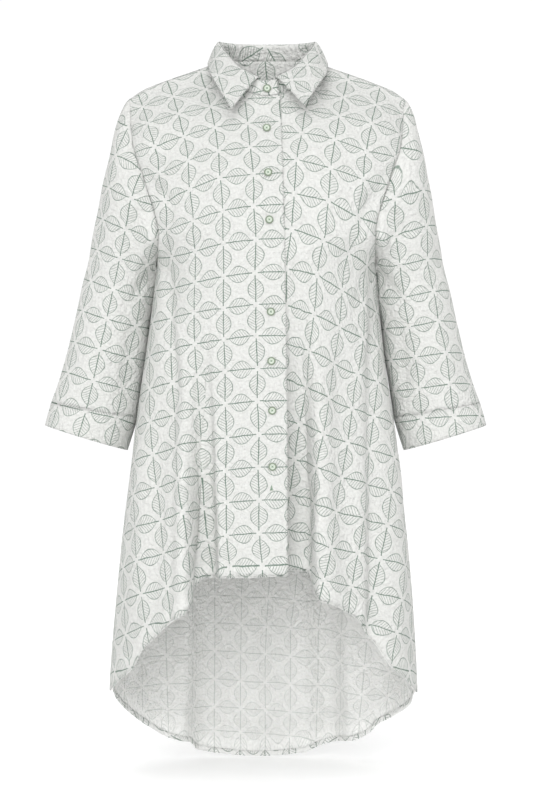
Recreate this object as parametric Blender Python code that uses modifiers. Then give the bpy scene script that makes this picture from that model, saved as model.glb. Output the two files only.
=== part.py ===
"""High-low tunic shirt, filled out as if worn, with nobody in it.

Sizes are millimetres. +X is the wearer's left, -Y the front and +Z up. The origin is at the
shoulders, halfway through the neck, where the wearer holds the garment up.
"""

import math
from collections import namedtuple

import bpy
import numpy as np
from mathutils import Vector

MM = 0.001

# ---- cloth and sewing -------------------------------------------------------------------------
CLOTH = 1.2  # wall of a single layer
COLLAR_CLOTH = 1.5  # collar and cuffs, two layers and interlining
HEM_CLOTH = 1.0
SEAM_GAP = 0.3
HEM_WIDTH = 8.0
HEM_END_CLEARANCE = 2.0
HEM_FROM_LAP = 62.0  # the right front's hem starts beyond the left front's edge
LAP_GAP = 0.8  # between the fronts where the right one lies over the left
LAP_EASE = (2.0, 26.0)  # where the left front starts and ends coming out again beside the lap

# ---- columns of a panel: 0 at its middle, 1 at the armhole and side seam ----------------------
NECK_CORNER = 0.292  # where neckline and shoulder seam meet
NECK_CROWDING = 0.65  # below 1, the neckline's columns are closer together towards its middle

# ---- lap: how far each front runs past the middle --------------------------------------------
LapRow = namedtuple("LapRow", "z x")
LAP = (
    LapRow(z=-50, x=19),
    LapRow(z=-95, x=20.5),
    LapRow(z=-240, x=24.5),
    LapRow(z=-400, x=26.8),
    LapRow(z=-560, x=28.6),
    LapRow(z=-730, x=28.8),
)
LAP_REACH = -0.2  # column that lies past the edge at any height

# ---- neck ------------------------------------------------------------------------------------
NECK_HALF_WIDTH = 70.0
NECK_MIDDLE_Y = -6.0
NECK_HALF_DEPTH = 68.0
FOLD_HALF_WIDTH = 66.0
FOLD_MIDDLE_Y = -5.0
FOLD_HALF_DEPTH = 65.0

NeckRow = namedtuple("NeckRow", "angle seam_z fold_z")
NECK = (  # angle round the neck from the front
    NeckRow(angle=0, seam_z=-50, fold_z=-27),
    NeckRow(angle=28, seam_z=-41, fold_z=-14),
    NeckRow(angle=62, seam_z=-11, fold_z=17),
    NeckRow(angle=90, seam_z=8, fold_z=34),
    NeckRow(angle=135, seam_z=15, fold_z=39),
    NeckRow(angle=180, seam_z=18, fold_z=41),
)

LeafRow = namedtuple("LeafRow", "angle x y z")
LEAF_EDGE = (  # outer edge of the collar leaf, from its right point round the back to its left one
    LeafRow(angle=8, x=-50, y=-101, z=-72),
    LeafRow(angle=35, x=-67, y=-84, z=-43),
    LeafRow(angle=65, x=-82, y=-44, z=-11),
    LeafRow(angle=95, x=-86, y=10, z=8),
    LeafRow(angle=135, x=-65, y=62, z=8),
    LeafRow(angle=180, x=0, y=84, z=6),
    LeafRow(angle=225, x=65, y=62, z=8),
    LeafRow(angle=265, x=88, y=10, z=8),
    LeafRow(angle=295, x=86, y=-44, z=-11),
    LeafRow(angle=325, x=69, y=-84, z=-41),
    LeafRow(angle=352, x=53, y=-101, z=-67),
)
LEAF_START = 8.0
LEAF_ROLL_OUT = 5.0  # how the leaf rolls over the fold line: outward and upward pulls
LEAF_ROLL_UP = 12.0
LEAF_BELLY = 4.0  # outward bow of the leaf's lower half
LEAF_BELLY_SHARE = 0.4  # where that bow is, up from the outer edge
STAND_LAP = 14.0  # degrees that each end of the stand runs past the middle
STAND_LAP_EASE = 42.0  # degrees over which its left end goes behind the right one
STAND_LOW_CLEARANCE = 0.8
STAND_TOP_CLEARANCE = 1.2
LEAF_TOP_CLEARANCE = 1.0

# ---- shoulders and chest ---------------------------------------------------------------------
SHOULDER_TIP = (198.0, -12.0, -48.0)
SHOULDER_BOW = 5.0  # upward bow of the shoulder seam, greatest two thirds of the way out

ChestRow = namedtuple("ChestRow", "middle_y middle_z edge_x edge_y edge_z")
FRONT_CHEST = (  # rows under the shoulder, each from the middle to the armhole
    ChestRow(middle_y=-88, middle_z=-98, edge_x=193, edge_y=-36, edge_z=-102),
    ChestRow(middle_y=-104, middle_z=-165, edge_x=174, edge_y=-60, edge_z=-168),
    ChestRow(middle_y=-114, middle_z=-235, edge_x=154, edge_y=-63, edge_z=-243),
)
BACK_CHEST = (
    ChestRow(middle_y=90, middle_z=-55, edge_x=195, edge_y=26, edge_z=-92),
    ChestRow(middle_y=108, middle_z=-150, edge_x=180, edge_y=56, edge_z=-168),
    ChestRow(middle_y=112, middle_z=-235, edge_x=164, edge_y=54, edge_z=-250),
)
RidgeRow = namedtuple("RidgeRow", "across x y z")
RIDGE = (  # the back's first row below its top edge, round the neck and along the shoulder
    RidgeRow(across=0.0, x=0, y=73, z=11),
    RidgeRow(across=0.15, x=41, y=60, z=10),
    RidgeRow(across=0.22, x=63, y=44, z=8),
    RidgeRow(across=0.292, x=81, y=25, z=3),
    RidgeRow(across=0.5, x=110, y=13, z=-4.5),
    RidgeRow(across=0.75, x=154, y=10.5, z=-20),
    RidgeRow(across=0.9, x=181, y=8.5, z=-31.5),
    RidgeRow(across=1.0, x=198, y=7, z=-43),
)
RIDGE_DROP = 7.0  # of that row at the middle of the back

# ---- body below the armholes -----------------------------------------------------------------
BODY_FIELDS = "z half_width front back side_y sway front_box back_box"
BodyRow = namedtuple("BodyRow", BODY_FIELDS, defaults=(0.0, 0.0))
BODY = (  # a box value pushes the quarters of the oval out
    BodyRow(z=-1030, half_width=226, front=158, back=172, side_y=4, sway=-5, front_box=0.02, back_box=0.06),
    BodyRow(z=-902, half_width=223, front=154, back=166, side_y=4, sway=-5, front_box=0.02, back_box=0.05),
    BodyRow(z=-713, half_width=209.5, front=146, back=148, side_y=3, sway=-3.5, front_box=0.02, back_box=0.03),
    BodyRow(z=-567, half_width=192, front=136, back=132, side_y=2, sway=-3.5, front_box=0.01, back_box=0.01),
    BodyRow(z=-505, half_width=185, front=131, back=126, side_y=2, sway=-3.2),
    BodyRow(z=-445, half_width=176.5, front=127, back=121, side_y=2, sway=-3.2),
    BodyRow(z=-380, half_width=168, front=122, back=116, side_y=2, sway=-2.4),
    BodyRow(z=-300, half_width=159, front=118, back=112, side_y=2, sway=-1.5),
)
CHEST_Z = -300.0
BELOW_CHEST = 60.0

# ---- hems, by distance from the middle -------------------------------------------------------
HemRow = namedtuple("HemRow", "x z")
HEM_REFERENCE = 223.0  # half width that the distances are measured on
FRONT_RIGHT_HEM = (
    HemRow(x=-30, z=-724),
    HemRow(x=24, z=-726),
    HemRow(x=96, z=-729),
    HemRow(x=101, z=-738),
    HemRow(x=105, z=-766),
    HemRow(x=113, z=-778),
    HemRow(x=129, z=-788),
    HemRow(x=154, z=-815),
    HemRow(x=171, z=-835),
    HemRow(x=181, z=-856),
    HemRow(x=209, z=-884),
    HemRow(x=223, z=-900),
)
FRONT_LEFT_HEM = (
    HemRow(x=-30, z=-722),
    HemRow(x=35, z=-718),
    HemRow(x=64, z=-719),
    HemRow(x=68, z=-728),
    HemRow(x=73, z=-745),
    HemRow(x=81, z=-757),
    HemRow(x=101, z=-765),
    HemRow(x=130, z=-785),
    HemRow(x=158, z=-817),
    HemRow(x=179, z=-857),
    HemRow(x=202, z=-878),
    HemRow(x=223, z=-902),
)
BACK_RIGHT_HEM = (
    HemRow(x=0, z=-1024),
    HemRow(x=74, z=-1019),
    HemRow(x=94, z=-1014),
    HemRow(x=107, z=-1000),
    HemRow(x=122, z=-996),
    HemRow(x=137, z=-991),
    HemRow(x=161, z=-973),
    HemRow(x=192, z=-946),
    HemRow(x=214, z=-919),
    HemRow(x=223, z=-901),
)
BACK_LEFT_HEM = (
    HemRow(x=0, z=-1024),
    HemRow(x=58, z=-1018),
    HemRow(x=79, z=-1009),
    HemRow(x=98, z=-1002),
    HemRow(x=134, z=-994),
    HemRow(x=151, z=-983),
    HemRow(x=161, z=-969),
    HemRow(x=180, z=-956),
    HemRow(x=214, z=-926),
    HemRow(x=223, z=-903),
)

# ---- folds: troughs have a negative depth, and a high power has a flat floor and steep sides ----
Fold = namedtuple("Fold", "top_x top_z low_x low_z inner outer depth lean power")
FRONT_RIGHT_FOLDS = (
    Fold(top_x=94, top_z=-330, low_x=89, low_z=-730, inner=18, outer=15, depth=-28, lean=0, power=5),
    Fold(top_x=122, top_z=-330, low_x=118, low_z=-770, inner=12, outer=34, depth=18, lean=-4, power=3),
    Fold(top_x=158, top_z=-170, low_x=136, low_z=-400, inner=9, outer=9, depth=-7, lean=0, power=2),
)
FRONT_LEFT_FOLDS = (
    Fold(top_x=44, top_z=-240, low_x=49, low_z=-720, inner=28, outer=17, depth=-28, lean=0, power=5),
    Fold(top_x=76, top_z=-290, low_x=78, low_z=-750, inner=12, outer=32, depth=18, lean=-4, power=3),
    Fold(top_x=158, top_z=-170, low_x=150, low_z=-400, inner=9, outer=9, depth=-7, lean=0, power=2),
    Fold(top_x=140, top_z=-480, low_x=150, low_z=-800, inner=16, outer=16, depth=-8, lean=0, power=2),
)
BACK_FOLDS = (
    Fold(top_x=75, top_z=-420, low_x=92, low_z=-1010, inner=20, outer=20, depth=14, lean=0, power=2),
    Fold(top_x=110, top_z=-420, low_x=132, low_z=-980, inner=16, outer=20, depth=-14, lean=0, power=2),
)
FOLD_FREE_SIDE = 0.86  # column past which folds fade out before the side seam
FOLD_TOP_WIDTH = 0.75  # of a fold at its top, as a share of its width at the bottom
FOLD_OVERRUN = 1.1  # how far past its low end a fold may be followed
FOLD_FULL = 0.9  # share of its length by which a fold has its full depth

# ---- half panels -----------------------------------------------------------------------------
Half = namedtuple("Half", "side at_back chest hem folds guides columns")
Guide = namedtuple("Guide", "across_top low_x")  # a column that follows a fold's side
FRONT_RIGHT = Half(
    side=-1,
    at_back=False,
    chest=FRONT_CHEST,
    hem=FRONT_RIGHT_HEM,
    folds=FRONT_RIGHT_FOLDS,
    guides=(Guide(across_top=0.2, low_x=73), Guide(across_top=NECK_CORNER, low_x=105)),
    columns=(8, 5, 22),
)
FRONT_LEFT = FRONT_RIGHT._replace(
    side=1,
    hem=FRONT_LEFT_HEM,
    folds=FRONT_LEFT_FOLDS,
    guides=(Guide(across_top=NECK_CORNER, low_x=67),),
    columns=(11, 24),
)
BACK_RIGHT = Half(
    side=-1,
    at_back=True,
    chest=BACK_CHEST,
    hem=BACK_RIGHT_HEM,
    folds=BACK_FOLDS,
    guides=(Guide(across_top=NECK_CORNER, low_x=100),),
    columns=(6, 12),
)
BACK_LEFT = BACK_RIGHT._replace(side=1, hem=BACK_LEFT_HEM)

# ---- sleeves ---------------------------------------------------------------------------------
Ring = namedtuple("Ring", "x y z half_width half_depth tilt")
SLEEVE_SWAY = -2.0  # of both sleeves
SLEEVE_RINGS = (  # tilt in degrees, the inner side lower
    Ring(x=212.5, y=20, z=-312, half_width=51.8, half_depth=58, tilt=9.5),
    Ring(x=224.5, y=20, z=-380, half_width=55.7, half_depth=57, tilt=9.5),
    Ring(x=235.8, y=20, z=-438, half_width=58.4, half_depth=55, tilt=9.8),
    Ring(x=249.7, y=20, z=-496, half_width=63.5, half_depth=54, tilt=10),
)
CUFF_RINGS = (
    Ring(x=249.7, y=20, z=-496, half_width=64.1, half_depth=54.6, tilt=10),
    Ring(x=255.5, y=18, z=-516, half_width=63, half_depth=55, tilt=13.5),
    Ring(x=261.2, y=16, z=-535.6, half_width=62.3, half_depth=55, tilt=16.9),
)
Heading = namedtuple("Heading", "turn x y z length")
CAP_HEADINGS = (  # how the sleeve leaves the armhole, by turn from the underarm through the front
    Heading(turn=0.0, x=1.0, y=0.0, z=0.0, length=0.9),
    Heading(turn=0.12, x=0.8, y=-0.6, z=-0.1, length=0.9),
    Heading(turn=0.25, x=0.75, y=-0.5, z=-0.4, length=0.85),
    Heading(turn=0.5, x=0.95, y=0.0, z=-0.31, length=0.28),
    Heading(turn=0.75, x=0.75, y=0.5, z=-0.4, length=0.85),
    Heading(turn=0.88, x=0.8, y=0.6, z=-0.1, length=0.9),
    Heading(turn=1.0, x=1.0, y=0.0, z=0.0, length=0.9),
)
CAP_FALL = 0.9  # pull of the hanging sleeve on the lower end of the cap
ARMHOLE_CLEARANCE = 0.6  # of the body's edge, where the walls meet at an angle
SLEEVE_CLEARANCE = 1.2
SHOULDER_CLEARANCE = 0.5

# ---- buttons ---------------------------------------------------------------------------------
BUTTON_RADIUS = 5.8
BUTTON_THICKNESS = 2.4
ButtonRow = namedtuple("ButtonRow", "radius height")
BUTTON_SECTION = (  # as shares of the radius and the thickness
    ButtonRow(radius=0, height=0.7),
    ButtonRow(radius=0.58, height=0.7),
    ButtonRow(radius=0.72, height=1),
    ButtonRow(radius=0.9, height=1),
    ButtonRow(radius=1, height=0.5),
    ButtonRow(radius=0.86, height=0),
    ButtonRow(radius=0, height=0),
)
BUTTON_STEPS = 14
BUTTON_HEIGHTS = (-98, -162, -229, -358, -427, -496, -574)  # on the lap, top to bottom
BUTTON_FROM_EDGE = 21.0
STAND_BUTTON_SHARE = 0.45  # height of the first button on the stand
LAP_COLUMNS = 8  # of the right front, which the buttons lie on

# ---- mesh density ----------------------------------------------------------------------------
PANEL_ROWS = (11, 12)  # above the armhole's foot, below it
TOP_CROWDING = 1.4  # rows are closer together towards the shoulder
SLEEVE_COLUMNS = 2 * PANEL_ROWS[0]
SLEEVE_ROWS = (8, 6)
CUFF_ROWS = 2
FINE_STEPS = 600  # for measuring along a row's cloth
STAND_SIZE = (34, 2)
LEAF_SIZE = (32, 5)


# ---- curves and tables -----------------------------------------------------------------------
def column(table, name):
    return np.array([getattr(row, name) for row in table], dtype=float)


def gentle_slopes(stations, values, level):
    """Slopes at the stations that don't overshoot. The ends may be level."""
    gaps = np.diff(stations).reshape((-1,) + (1,) * (values.ndim - 1))
    steps = np.diff(values, axis=0) / gaps
    before, after = steps[:-1], steps[1:]
    agree = before * after > 0
    total = np.where(agree, before + after, 1.0)
    middle = np.where(agree, 2 * before * after / total, 0.0)
    ends = (0.0, 0.0) if level else (1.0, 1.0)
    return np.concatenate((steps[:1] * ends[0], middle, steps[-1:] * ends[1]))


def smooth_through(stations, values, at, level=False):
    """Values of a smooth curve through the given ones, at places along it."""
    values = np.asarray(values, dtype=float)
    at = np.asarray(at, dtype=float)
    slopes = gentle_slopes(stations, values, level)
    index = np.clip(np.searchsorted(stations, at) - 1, 0, len(stations) - 2)
    width = stations[index + 1] - stations[index]
    part = np.clip((at - stations[index]) / width, 0.0, 1.0)
    extra = (1,) * (values.ndim - 1)
    width = width.reshape(width.shape + extra)
    part = part.reshape(part.shape + extra)
    start = values[index] * (1 + 2 * part) * (1 - part) ** 2
    end = values[index + 1] * part**2 * (3 - 2 * part)
    leave = slopes[index] * width * part * (1 - part) ** 2
    arrive = slopes[index + 1] * width * part**2 * (part - 1)
    return start + end + leave + arrive


def follow(table, name, key, at, level=False):
    """One column of a table as a smooth function of another, whichever way its rows run."""
    stations = column(table, key)
    values = column(table, name)
    order = np.argsort(stations)
    return smooth_through(stations[order], values[order], at, level)


def ramp(value, start, end):
    """0 before start, 1 past end and smooth between."""
    part = np.clip((value - start) / (end - start), 0.0, 1.0)
    return part * part * (3 - 2 * part)


def points(x, y, z):
    return np.stack(np.broadcast_arrays(x, y, z), axis=-1).astype(float)


def lengths(vectors):
    return np.linalg.norm(vectors, axis=-1, keepdims=True)


# ---- neck curves -----------------------------------------------------------------------------
def neck_seam(angle):
    """The seam between body and collar stand. Angle in degrees from the front, + to the wearer's right."""
    turn = np.radians(angle)
    x = -NECK_HALF_WIDTH * np.sin(turn)
    y = NECK_MIDDLE_Y - NECK_HALF_DEPTH * np.cos(turn)
    return points(x, y, neck_height(angle, "seam_z"))


def fold_line(angle):
    """The collar's top edge, where the leaf turns over."""
    turn = np.radians(angle)
    x = -FOLD_HALF_WIDTH * np.sin(turn)
    y = FOLD_MIDDLE_Y - FOLD_HALF_DEPTH * np.cos(turn)
    return points(x, y, neck_height(angle, "fold_z"))


def neck_height(angle, name):
    from_front = np.abs((np.asarray(angle, dtype=float) + 180) % 360 - 180)
    return follow(NECK, name, "angle", from_front, level=True)


def neckline_angle(across):
    """Angle round the neck of a panel's column, from 0 at its middle to 90 at the neck corner."""
    share = across / NECK_CORNER
    return 90 * (NECK_CROWDING * share + (1 - NECK_CROWDING) * share**3)


# ---- body panels -----------------------------------------------------------------------------
def shoulder_seam(side, across):
    share = np.clip((across - NECK_CORNER) / (1 - NECK_CORNER), 0, 1)[..., None]
    neck_point = neck_seam(-90.0 * side)
    tip = np.array(SHOULDER_TIP) * (side, 1, 1)
    bow = SHOULDER_BOW * share**2 * (1 - share) * 27 / 4
    return neck_point * (1 - share) + tip * share + bow * (0, 0, 1)


def top_edge(half, across):
    angle = neckline_angle(across)
    if half.at_back:
        angle = 180 - angle
    neckline = neck_seam(-half.side * angle)
    shoulder = shoulder_seam(half.side, across)
    return np.where((across < NECK_CORNER)[..., None], neckline, shoulder)


def ridge_row(half, across):
    """The back's first row below its top edge: the top of the shoulder."""
    row = points(*(follow(RIDGE, name, "across", across) for name in "xyz"))
    return row * (half.side, 1, 1)


def chest_row(side, row, across):
    turn = across * math.pi / 2
    x = side * row.edge_x * np.sin(turn)
    y = row.edge_y + (row.middle_y - row.edge_y) * np.cos(turn)
    z = row.middle_z + (row.edge_z - row.middle_z) * np.sin(turn) ** 2
    return points(x, y, z)


def body_section(half, z, across):
    """A level of the body below the armholes, before folds."""
    turn = across * math.pi / 2
    depth_name = "back" if half.at_back else "front"
    half_width = follow(BODY, "half_width", "z", z)
    depth = follow(BODY, depth_name, "z", z)
    side_y = follow(BODY, "side_y", "z", z)
    box = 1 + follow(BODY, depth_name + "_box", "z", z) * np.sin(2 * turn) ** 2
    x = half.side * half_width * np.sin(turn) * box + follow(BODY, "sway", "z", z)
    reach = depth - side_y if half.at_back else -(depth + side_y)
    y = side_y + reach * np.cos(turn) * box
    return points(x, y, z)


def hem_height(half, across):
    return follow(half.hem, "z", "x", HEM_REFERENCE * np.sin(across * math.pi / 2), level=True)


def upper_rows(half, across):
    """Rows of points from the top edge to below the armhole, and how far below the top each is."""
    top_z = neck_height(180 if half.at_back else 0, "seam_z")
    stack = [top_edge(half, across)]
    heights = [top_z]
    if half.at_back:
        stack.append(ridge_row(half, across))
        heights.append(top_z - RIDGE_DROP)
    for row in half.chest:
        stack.append(chest_row(half.side, row, across))
        heights.append(row.middle_z)
    for z in (CHEST_Z, CHEST_Z - BELOW_CHEST):
        stack.append(body_section(half, np.full_like(across, z), across))
        heights.append(z)
    return np.stack(stack), top_z - np.array(heights, dtype=float)


def base_row(half, level, across):
    """A row of a panel before folds. Its level is 0 on the top edge, 1 at the chest, 2 on the hem."""
    if level <= 1:
        rows, drops = upper_rows(half, across)
        return smooth_through(drops, rows, [drops[-2] * level**TOP_CROWDING])[0]
    z = CHEST_Z + (hem_height(half, across) - CHEST_Z) * (level - 1)
    return body_section(half, z, across)


def fold_shift(folds, x, z):
    """Outward and sideways shift of the cloth by folds, x being the distance from the middle."""
    out = np.zeros_like(x)
    sideways = np.zeros_like(x)
    for fold in folds:
        along = np.clip((fold.top_z - z) / (fold.top_z - fold.low_z), 0, FOLD_OVERRUN)
        offset = x - (fold.top_x + (fold.low_x - fold.top_x) * along)
        width = np.where(offset < 0, fold.inner, fold.outer)
        width = width * (FOLD_TOP_WIDTH + (1 - FOLD_TOP_WIDTH) * along)
        shape = np.exp(-(np.abs(offset / width) ** fold.power)) * ramp(along, 0.0, FOLD_FULL)
        out += fold.depth * shape
        sideways += fold.lean * shape
    return out, sideways


def folded_row(half, level, across):
    """A row of a panel, with its folds pushed out of its level line and along it."""
    row = base_row(half, level, across)
    along = np.gradient(row, axis=0) * (1, 1, 0)
    along /= lengths(along)
    facing = -half.side if half.at_back else half.side
    out = np.stack((along[:, 1], -along[:, 0], 0 * along[:, 0]), axis=-1) * facing
    depth, sideways = fold_shift(half.folds, half.side * row[:, 0], row[:, 2])
    free = 1 - ramp(across, FOLD_FREE_SIDE, 1.0)
    row = row + out * (depth * free)[:, None] + along * (sideways * free)[:, None]
    if half is FRONT_LEFT:
        row = under_lap(row)
    return row


def under_lap(row):
    """Sets the left front back behind the right one, out again beyond the lap's edge."""
    past_edge = row[:, 0] - follow(LAP, "x", "z", row[:, 2])
    behind = (CLOTH + LAP_GAP) * (1 - ramp(past_edge, *LAP_EASE))
    return row + points(0.0, behind, 0.0)


def guide_across(half, guide, level):
    """Place of a guide: down from its column on the top edge, then along its fold."""
    share = max(level - 1, 0)
    z = CHEST_Z + (hem_height(half, guide.low_x / HEM_REFERENCE) - CHEST_Z) * share
    half_width = follow(BODY, "half_width", "z", z)
    on_fold = math.asin(guide.low_x / half_width) * 2 / math.pi
    return guide.across_top + (on_fold - guide.across_top) * ramp(level, 0, 1)


def first_column(half, level):
    """The middle of the back, or a front's edge past the middle."""
    if half.at_back:
        return 0.0
    across = np.linspace(LAP_REACH, 0, FINE_STEPS)
    row = base_row(half, level, across)
    inside_edge = half.side * row[:, 0] + follow(LAP, "x", "z", row[:, 2])
    return np.interp(0, inside_edge, across)


def even_across(half, level, finer):
    """Columns spaced evenly over a row's cloth between its guides."""
    first = first_column(half, level)
    fine = np.linspace(first, 1, FINE_STEPS)
    line = folded_row(half, level, fine)
    along = np.concatenate(([0], np.cumsum(lengths(np.diff(line, axis=0))[:, 0])))
    stops = [first] + [guide_across(half, guide, level) for guide in half.guides] + [1.0]
    columns = [[first]]
    for start, end, count in zip(stops, stops[1:], half.columns):
        reached = np.linspace(*np.interp((start, end), fine, along), count * finer + 1)[1:-1]
        columns += [np.interp(reached, along, fine), [end]]
    return np.concatenate(columns)


def levels(half, counts):
    """Rows down a panel, the last two on the turned hem's upper edge and on the hem."""
    middle_length = CHEST_Z - hem_height(half, 0.0)
    upper = np.linspace(0, 1, counts[0] + 1)
    lower = np.linspace(1, 2 - HEM_WIDTH / middle_length, counts[1] + 1)[1:]
    return np.concatenate((upper, lower, [2.0]))


def half_grid(half, finer=1, rows=PANEL_ROWS):
    """Points of a half panel, rows from its top edge to its hem, columns from its middle out."""
    rows = [folded_row(half, level, even_across(half, level, finer)) for level in levels(half, rows)]
    return np.stack(rows)


def back_grid(finer=1, rows=PANEL_ROWS):
    left = half_grid(BACK_LEFT, finer, rows)
    right = half_grid(BACK_RIGHT, finer, rows)
    return np.concatenate((right[:, :0:-1], left), axis=1)


# ---- sleeves and cuffs -----------------------------------------------------------------------
def ring_points(side, ring, turn):
    """An oval ring. The turn runs from the inner side through the front and back again."""
    angle = 2 * math.pi * turn
    tilt = math.radians(ring.tilt)
    inward = ring.half_width * np.cos(angle)
    x = SLEEVE_SWAY + side * (ring.x - inward * math.cos(tilt))
    y = ring.y - ring.half_depth * np.sin(angle)
    z = ring.z - inward * math.sin(tilt)
    return points(x, y, z)


def armhole(side, turn):
    """The armhole seam, from the underarm up the front, over the shoulder and down the back."""
    front = FRONT_LEFT if side > 0 else FRONT_RIGHT
    back = BACK_LEFT if side > 0 else BACK_RIGHT
    edge = np.array([1.0])
    up_front = [base_row(front, 1 - 2 * share, edge)[0] for share in turn[turn <= 0.5]]
    down_back = [base_row(back, 2 * share - 1, edge)[0] for share in turn[turn > 0.5]]
    return np.array(up_front + down_back)


def sleeve_grid(side, columns=SLEEVE_COLUMNS, rows=SLEEVE_ROWS):
    turn = np.arange(columns) / columns
    start = armhole(side, turn)
    rings = np.stack([ring_points(side, ring, turn) for ring in SLEEVE_RINGS])
    stations = -column(SLEEVE_RINGS, "z")
    leaving = np.gradient(rings, stations, axis=0)[0]
    leaving /= lengths(leaving)
    reach = lengths(rings[0] - start)
    heading = points(*(follow(CAP_HEADINGS, name, "turn", turn) for name in "xyz"))
    heading *= (side, 1, 1)
    heading *= follow(CAP_HEADINGS, "length", "turn", turn)[:, None] * reach / lengths(heading)
    share = np.linspace(0, 1, rows[0] + 1)[:, None, None]
    cap = start * (1 + 2 * share) * (1 - share) ** 2
    cap = cap + rings[0] * share**2 * (3 - 2 * share)
    cap = cap + heading * share * (1 - share) ** 2
    cap = cap + leaving * reach * CAP_FALL * share**2 * (share - 1)
    tube = smooth_through(stations, rings, np.linspace(stations[0], stations[-1], rows[1] + 1)[1:])
    return np.concatenate((cap, tube))


def cuff_grid(side, columns=SLEEVE_COLUMNS, rows=CUFF_ROWS):
    turn = np.arange(columns) / columns
    rings = np.stack([ring_points(side, ring, turn) for ring in CUFF_RINGS])
    stations = -column(CUFF_RINGS, "z")
    return smooth_through(stations, rings, np.linspace(stations[0], stations[-1], rows + 1))


# ---- collar ----------------------------------------------------------------------------------
def stand_grid(columns=STAND_SIZE[0], rows=STAND_SIZE[1]):
    """The stand, its right end lying over its left end at the front."""
    angle = np.linspace(-STAND_LAP, 360 + STAND_LAP, columns + 1)
    low = neck_seam(angle)
    high = fold_line(angle)
    inward = (COLLAR_CLOTH + LAP_GAP) * ramp(angle, 360 - STAND_LAP - STAND_LAP_EASE, 360 - STAND_LAP)
    turn = np.radians(angle)
    shift = points(np.sin(turn), np.cos(turn), 0 * turn) * inward[:, None]
    share = np.linspace(0, 1, rows + 1)[:, None, None]
    return low + shift + (high - low) * share


def leaf_grid(columns=LEAF_SIZE[0], rows=LEAF_SIZE[1]):
    """The leaf, rolled over the stand's top edge and down to its outer edge."""
    angle = np.linspace(LEAF_START, 360 - LEAF_START, columns + 1)
    outer = points(*(follow(LEAF_EDGE, name, "angle", angle) for name in "xyz"))
    top = fold_line(angle) + (0, 0, SEAM_GAP)
    turn = np.radians(angle)
    outward = points(-np.sin(turn), -np.cos(turn), 0 * turn)
    over = top + outward * LEAF_ROLL_OUT + (0, 0, LEAF_ROLL_UP)
    lower = outer + (top - outer) * LEAF_BELLY_SHARE + outward * LEAF_BELLY
    share = np.linspace(0, 1, rows + 1)[:, None, None]
    rest = 1 - share
    return top * rest**3 + over * 3 * rest**2 * share + lower * 3 * rest * share**2 + outer * share**3


# ---- mesh helpers ----------------------------------------------------------------------------
def pull_in(grid, top=0.0, bottom=0.0, start=0.0, end=0.0):
    """Moves the edges of a sheet in by a few tenths, so that seams don't touch."""
    grid = grid.copy()
    for amount, edge, inner in ((top, 0, 1), (bottom, -1, -2)):
        step = grid[inner] - grid[edge]
        grid[edge] += step / lengths(step) * np.reshape(amount, (-1, 1))
    for amount, edge, inner in ((start, 0, 1), (end, -1, -2)):
        step = grid[:, inner] - grid[:, edge]
        grid[:, edge] += step / lengths(step) * np.reshape(amount, (-1, 1))
    return grid


def side_clearance(grid):
    """How far a panel's outer edge is pulled in: more along the armhole than down the side seam."""
    in_armhole = np.arange(len(grid)) <= PANEL_ROWS[0]
    return np.where(in_armhole, ARMHOLE_CLEARANCE, SEAM_GAP / 2)


def surface_normals(grid):
    across = np.gradient(grid, axis=1)
    down = np.gradient(grid, axis=0)
    normal = np.cross(down, across)
    return normal / lengths(normal)


def loft(name, grid, wall, material, closed=False):
    """One named cloth piece: a lofted sheet with the wall's thickness about it."""
    rows, columns = grid.shape[:2]
    mesh = bpy.data.meshes.new(name)
    faces = []
    for row in range(rows - 1):
        for first in range(columns if closed else columns - 1):
            second = (first + 1) % columns
            above = row * columns
            below = above + columns
            faces.append((above + first, above + second, below + second, below + first))
    mesh.from_pydata([Vector(point) * MM for point in grid.reshape(-1, 3)], [], faces)
    mesh.materials.append(material)
    piece = bpy.data.objects.new(name, mesh)
    parts.objects.link(piece)
    thick = piece.modifiers.new("Cloth", "SOLIDIFY")
    thick.thickness = wall * MM
    thick.offset = 0
    thick.use_quality_normals = True
    return piece


def cloth_material(name, colour, roughness):
    material = bpy.data.materials.new(name)
    material.use_nodes = True
    shader = material.node_tree.nodes["Principled BSDF"]
    shader.inputs["Base Color"].default_value = (*colour, 1)
    shader.inputs["Roughness"].default_value = roughness
    shader.inputs["Metallic"].default_value = 0
    material.diffuse_color = (*colour, 1)
    return material


# ---- pieces ----------------------------------------------------------------------------------
def make_fronts(material):
    for name, half in (("front_right", FRONT_RIGHT), ("front_left", FRONT_LEFT)):
        grid = half_grid(half)
        grid = pull_in(grid, top=SHOULDER_CLEARANCE, end=side_clearance(grid))
        loft(name, grid, CLOTH, material)


def make_back(material):
    grid = back_grid()
    sides = side_clearance(grid)
    loft("back", pull_in(grid, top=SHOULDER_CLEARANCE, start=sides, end=sides), CLOTH, material)


def hem_strip(grid, outward):
    """The turned edge on a panel's inside, made from its two lowest rows moved in."""
    inward = -outward * surface_normals(grid)[-2:]
    return grid[-2:] + inward * (CLOTH / 2 + SEAM_GAP + HEM_CLOTH / 2)


def make_hems(material):
    right = half_grid(FRONT_RIGHT)
    beyond_lap = right[:, right[-1, :, 0] < right[-1, 0, 0] - HEM_FROM_LAP]
    for name, grid, outward in (
        ("hem_front_right", beyond_lap, -1),
        ("hem_front_left", half_grid(FRONT_LEFT), 1),
        ("hem_back", back_grid(), -1),
    ):
        strip = pull_in(hem_strip(grid, outward), start=HEM_END_CLEARANCE, end=HEM_END_CLEARANCE)
        loft(name, strip, HEM_CLOTH, material)


def make_sleeves(material):
    half = SEAM_GAP / 2
    for name, side in (("right", -1), ("left", 1)):
        sleeve = pull_in(sleeve_grid(side), top=SLEEVE_CLEARANCE, bottom=half)
        loft("sleeve_" + name, sleeve, CLOTH, material, closed=True)
        cuff = pull_in(cuff_grid(side), top=half)
        loft("cuff_" + name, cuff, COLLAR_CLOTH, material, closed=True)


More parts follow.
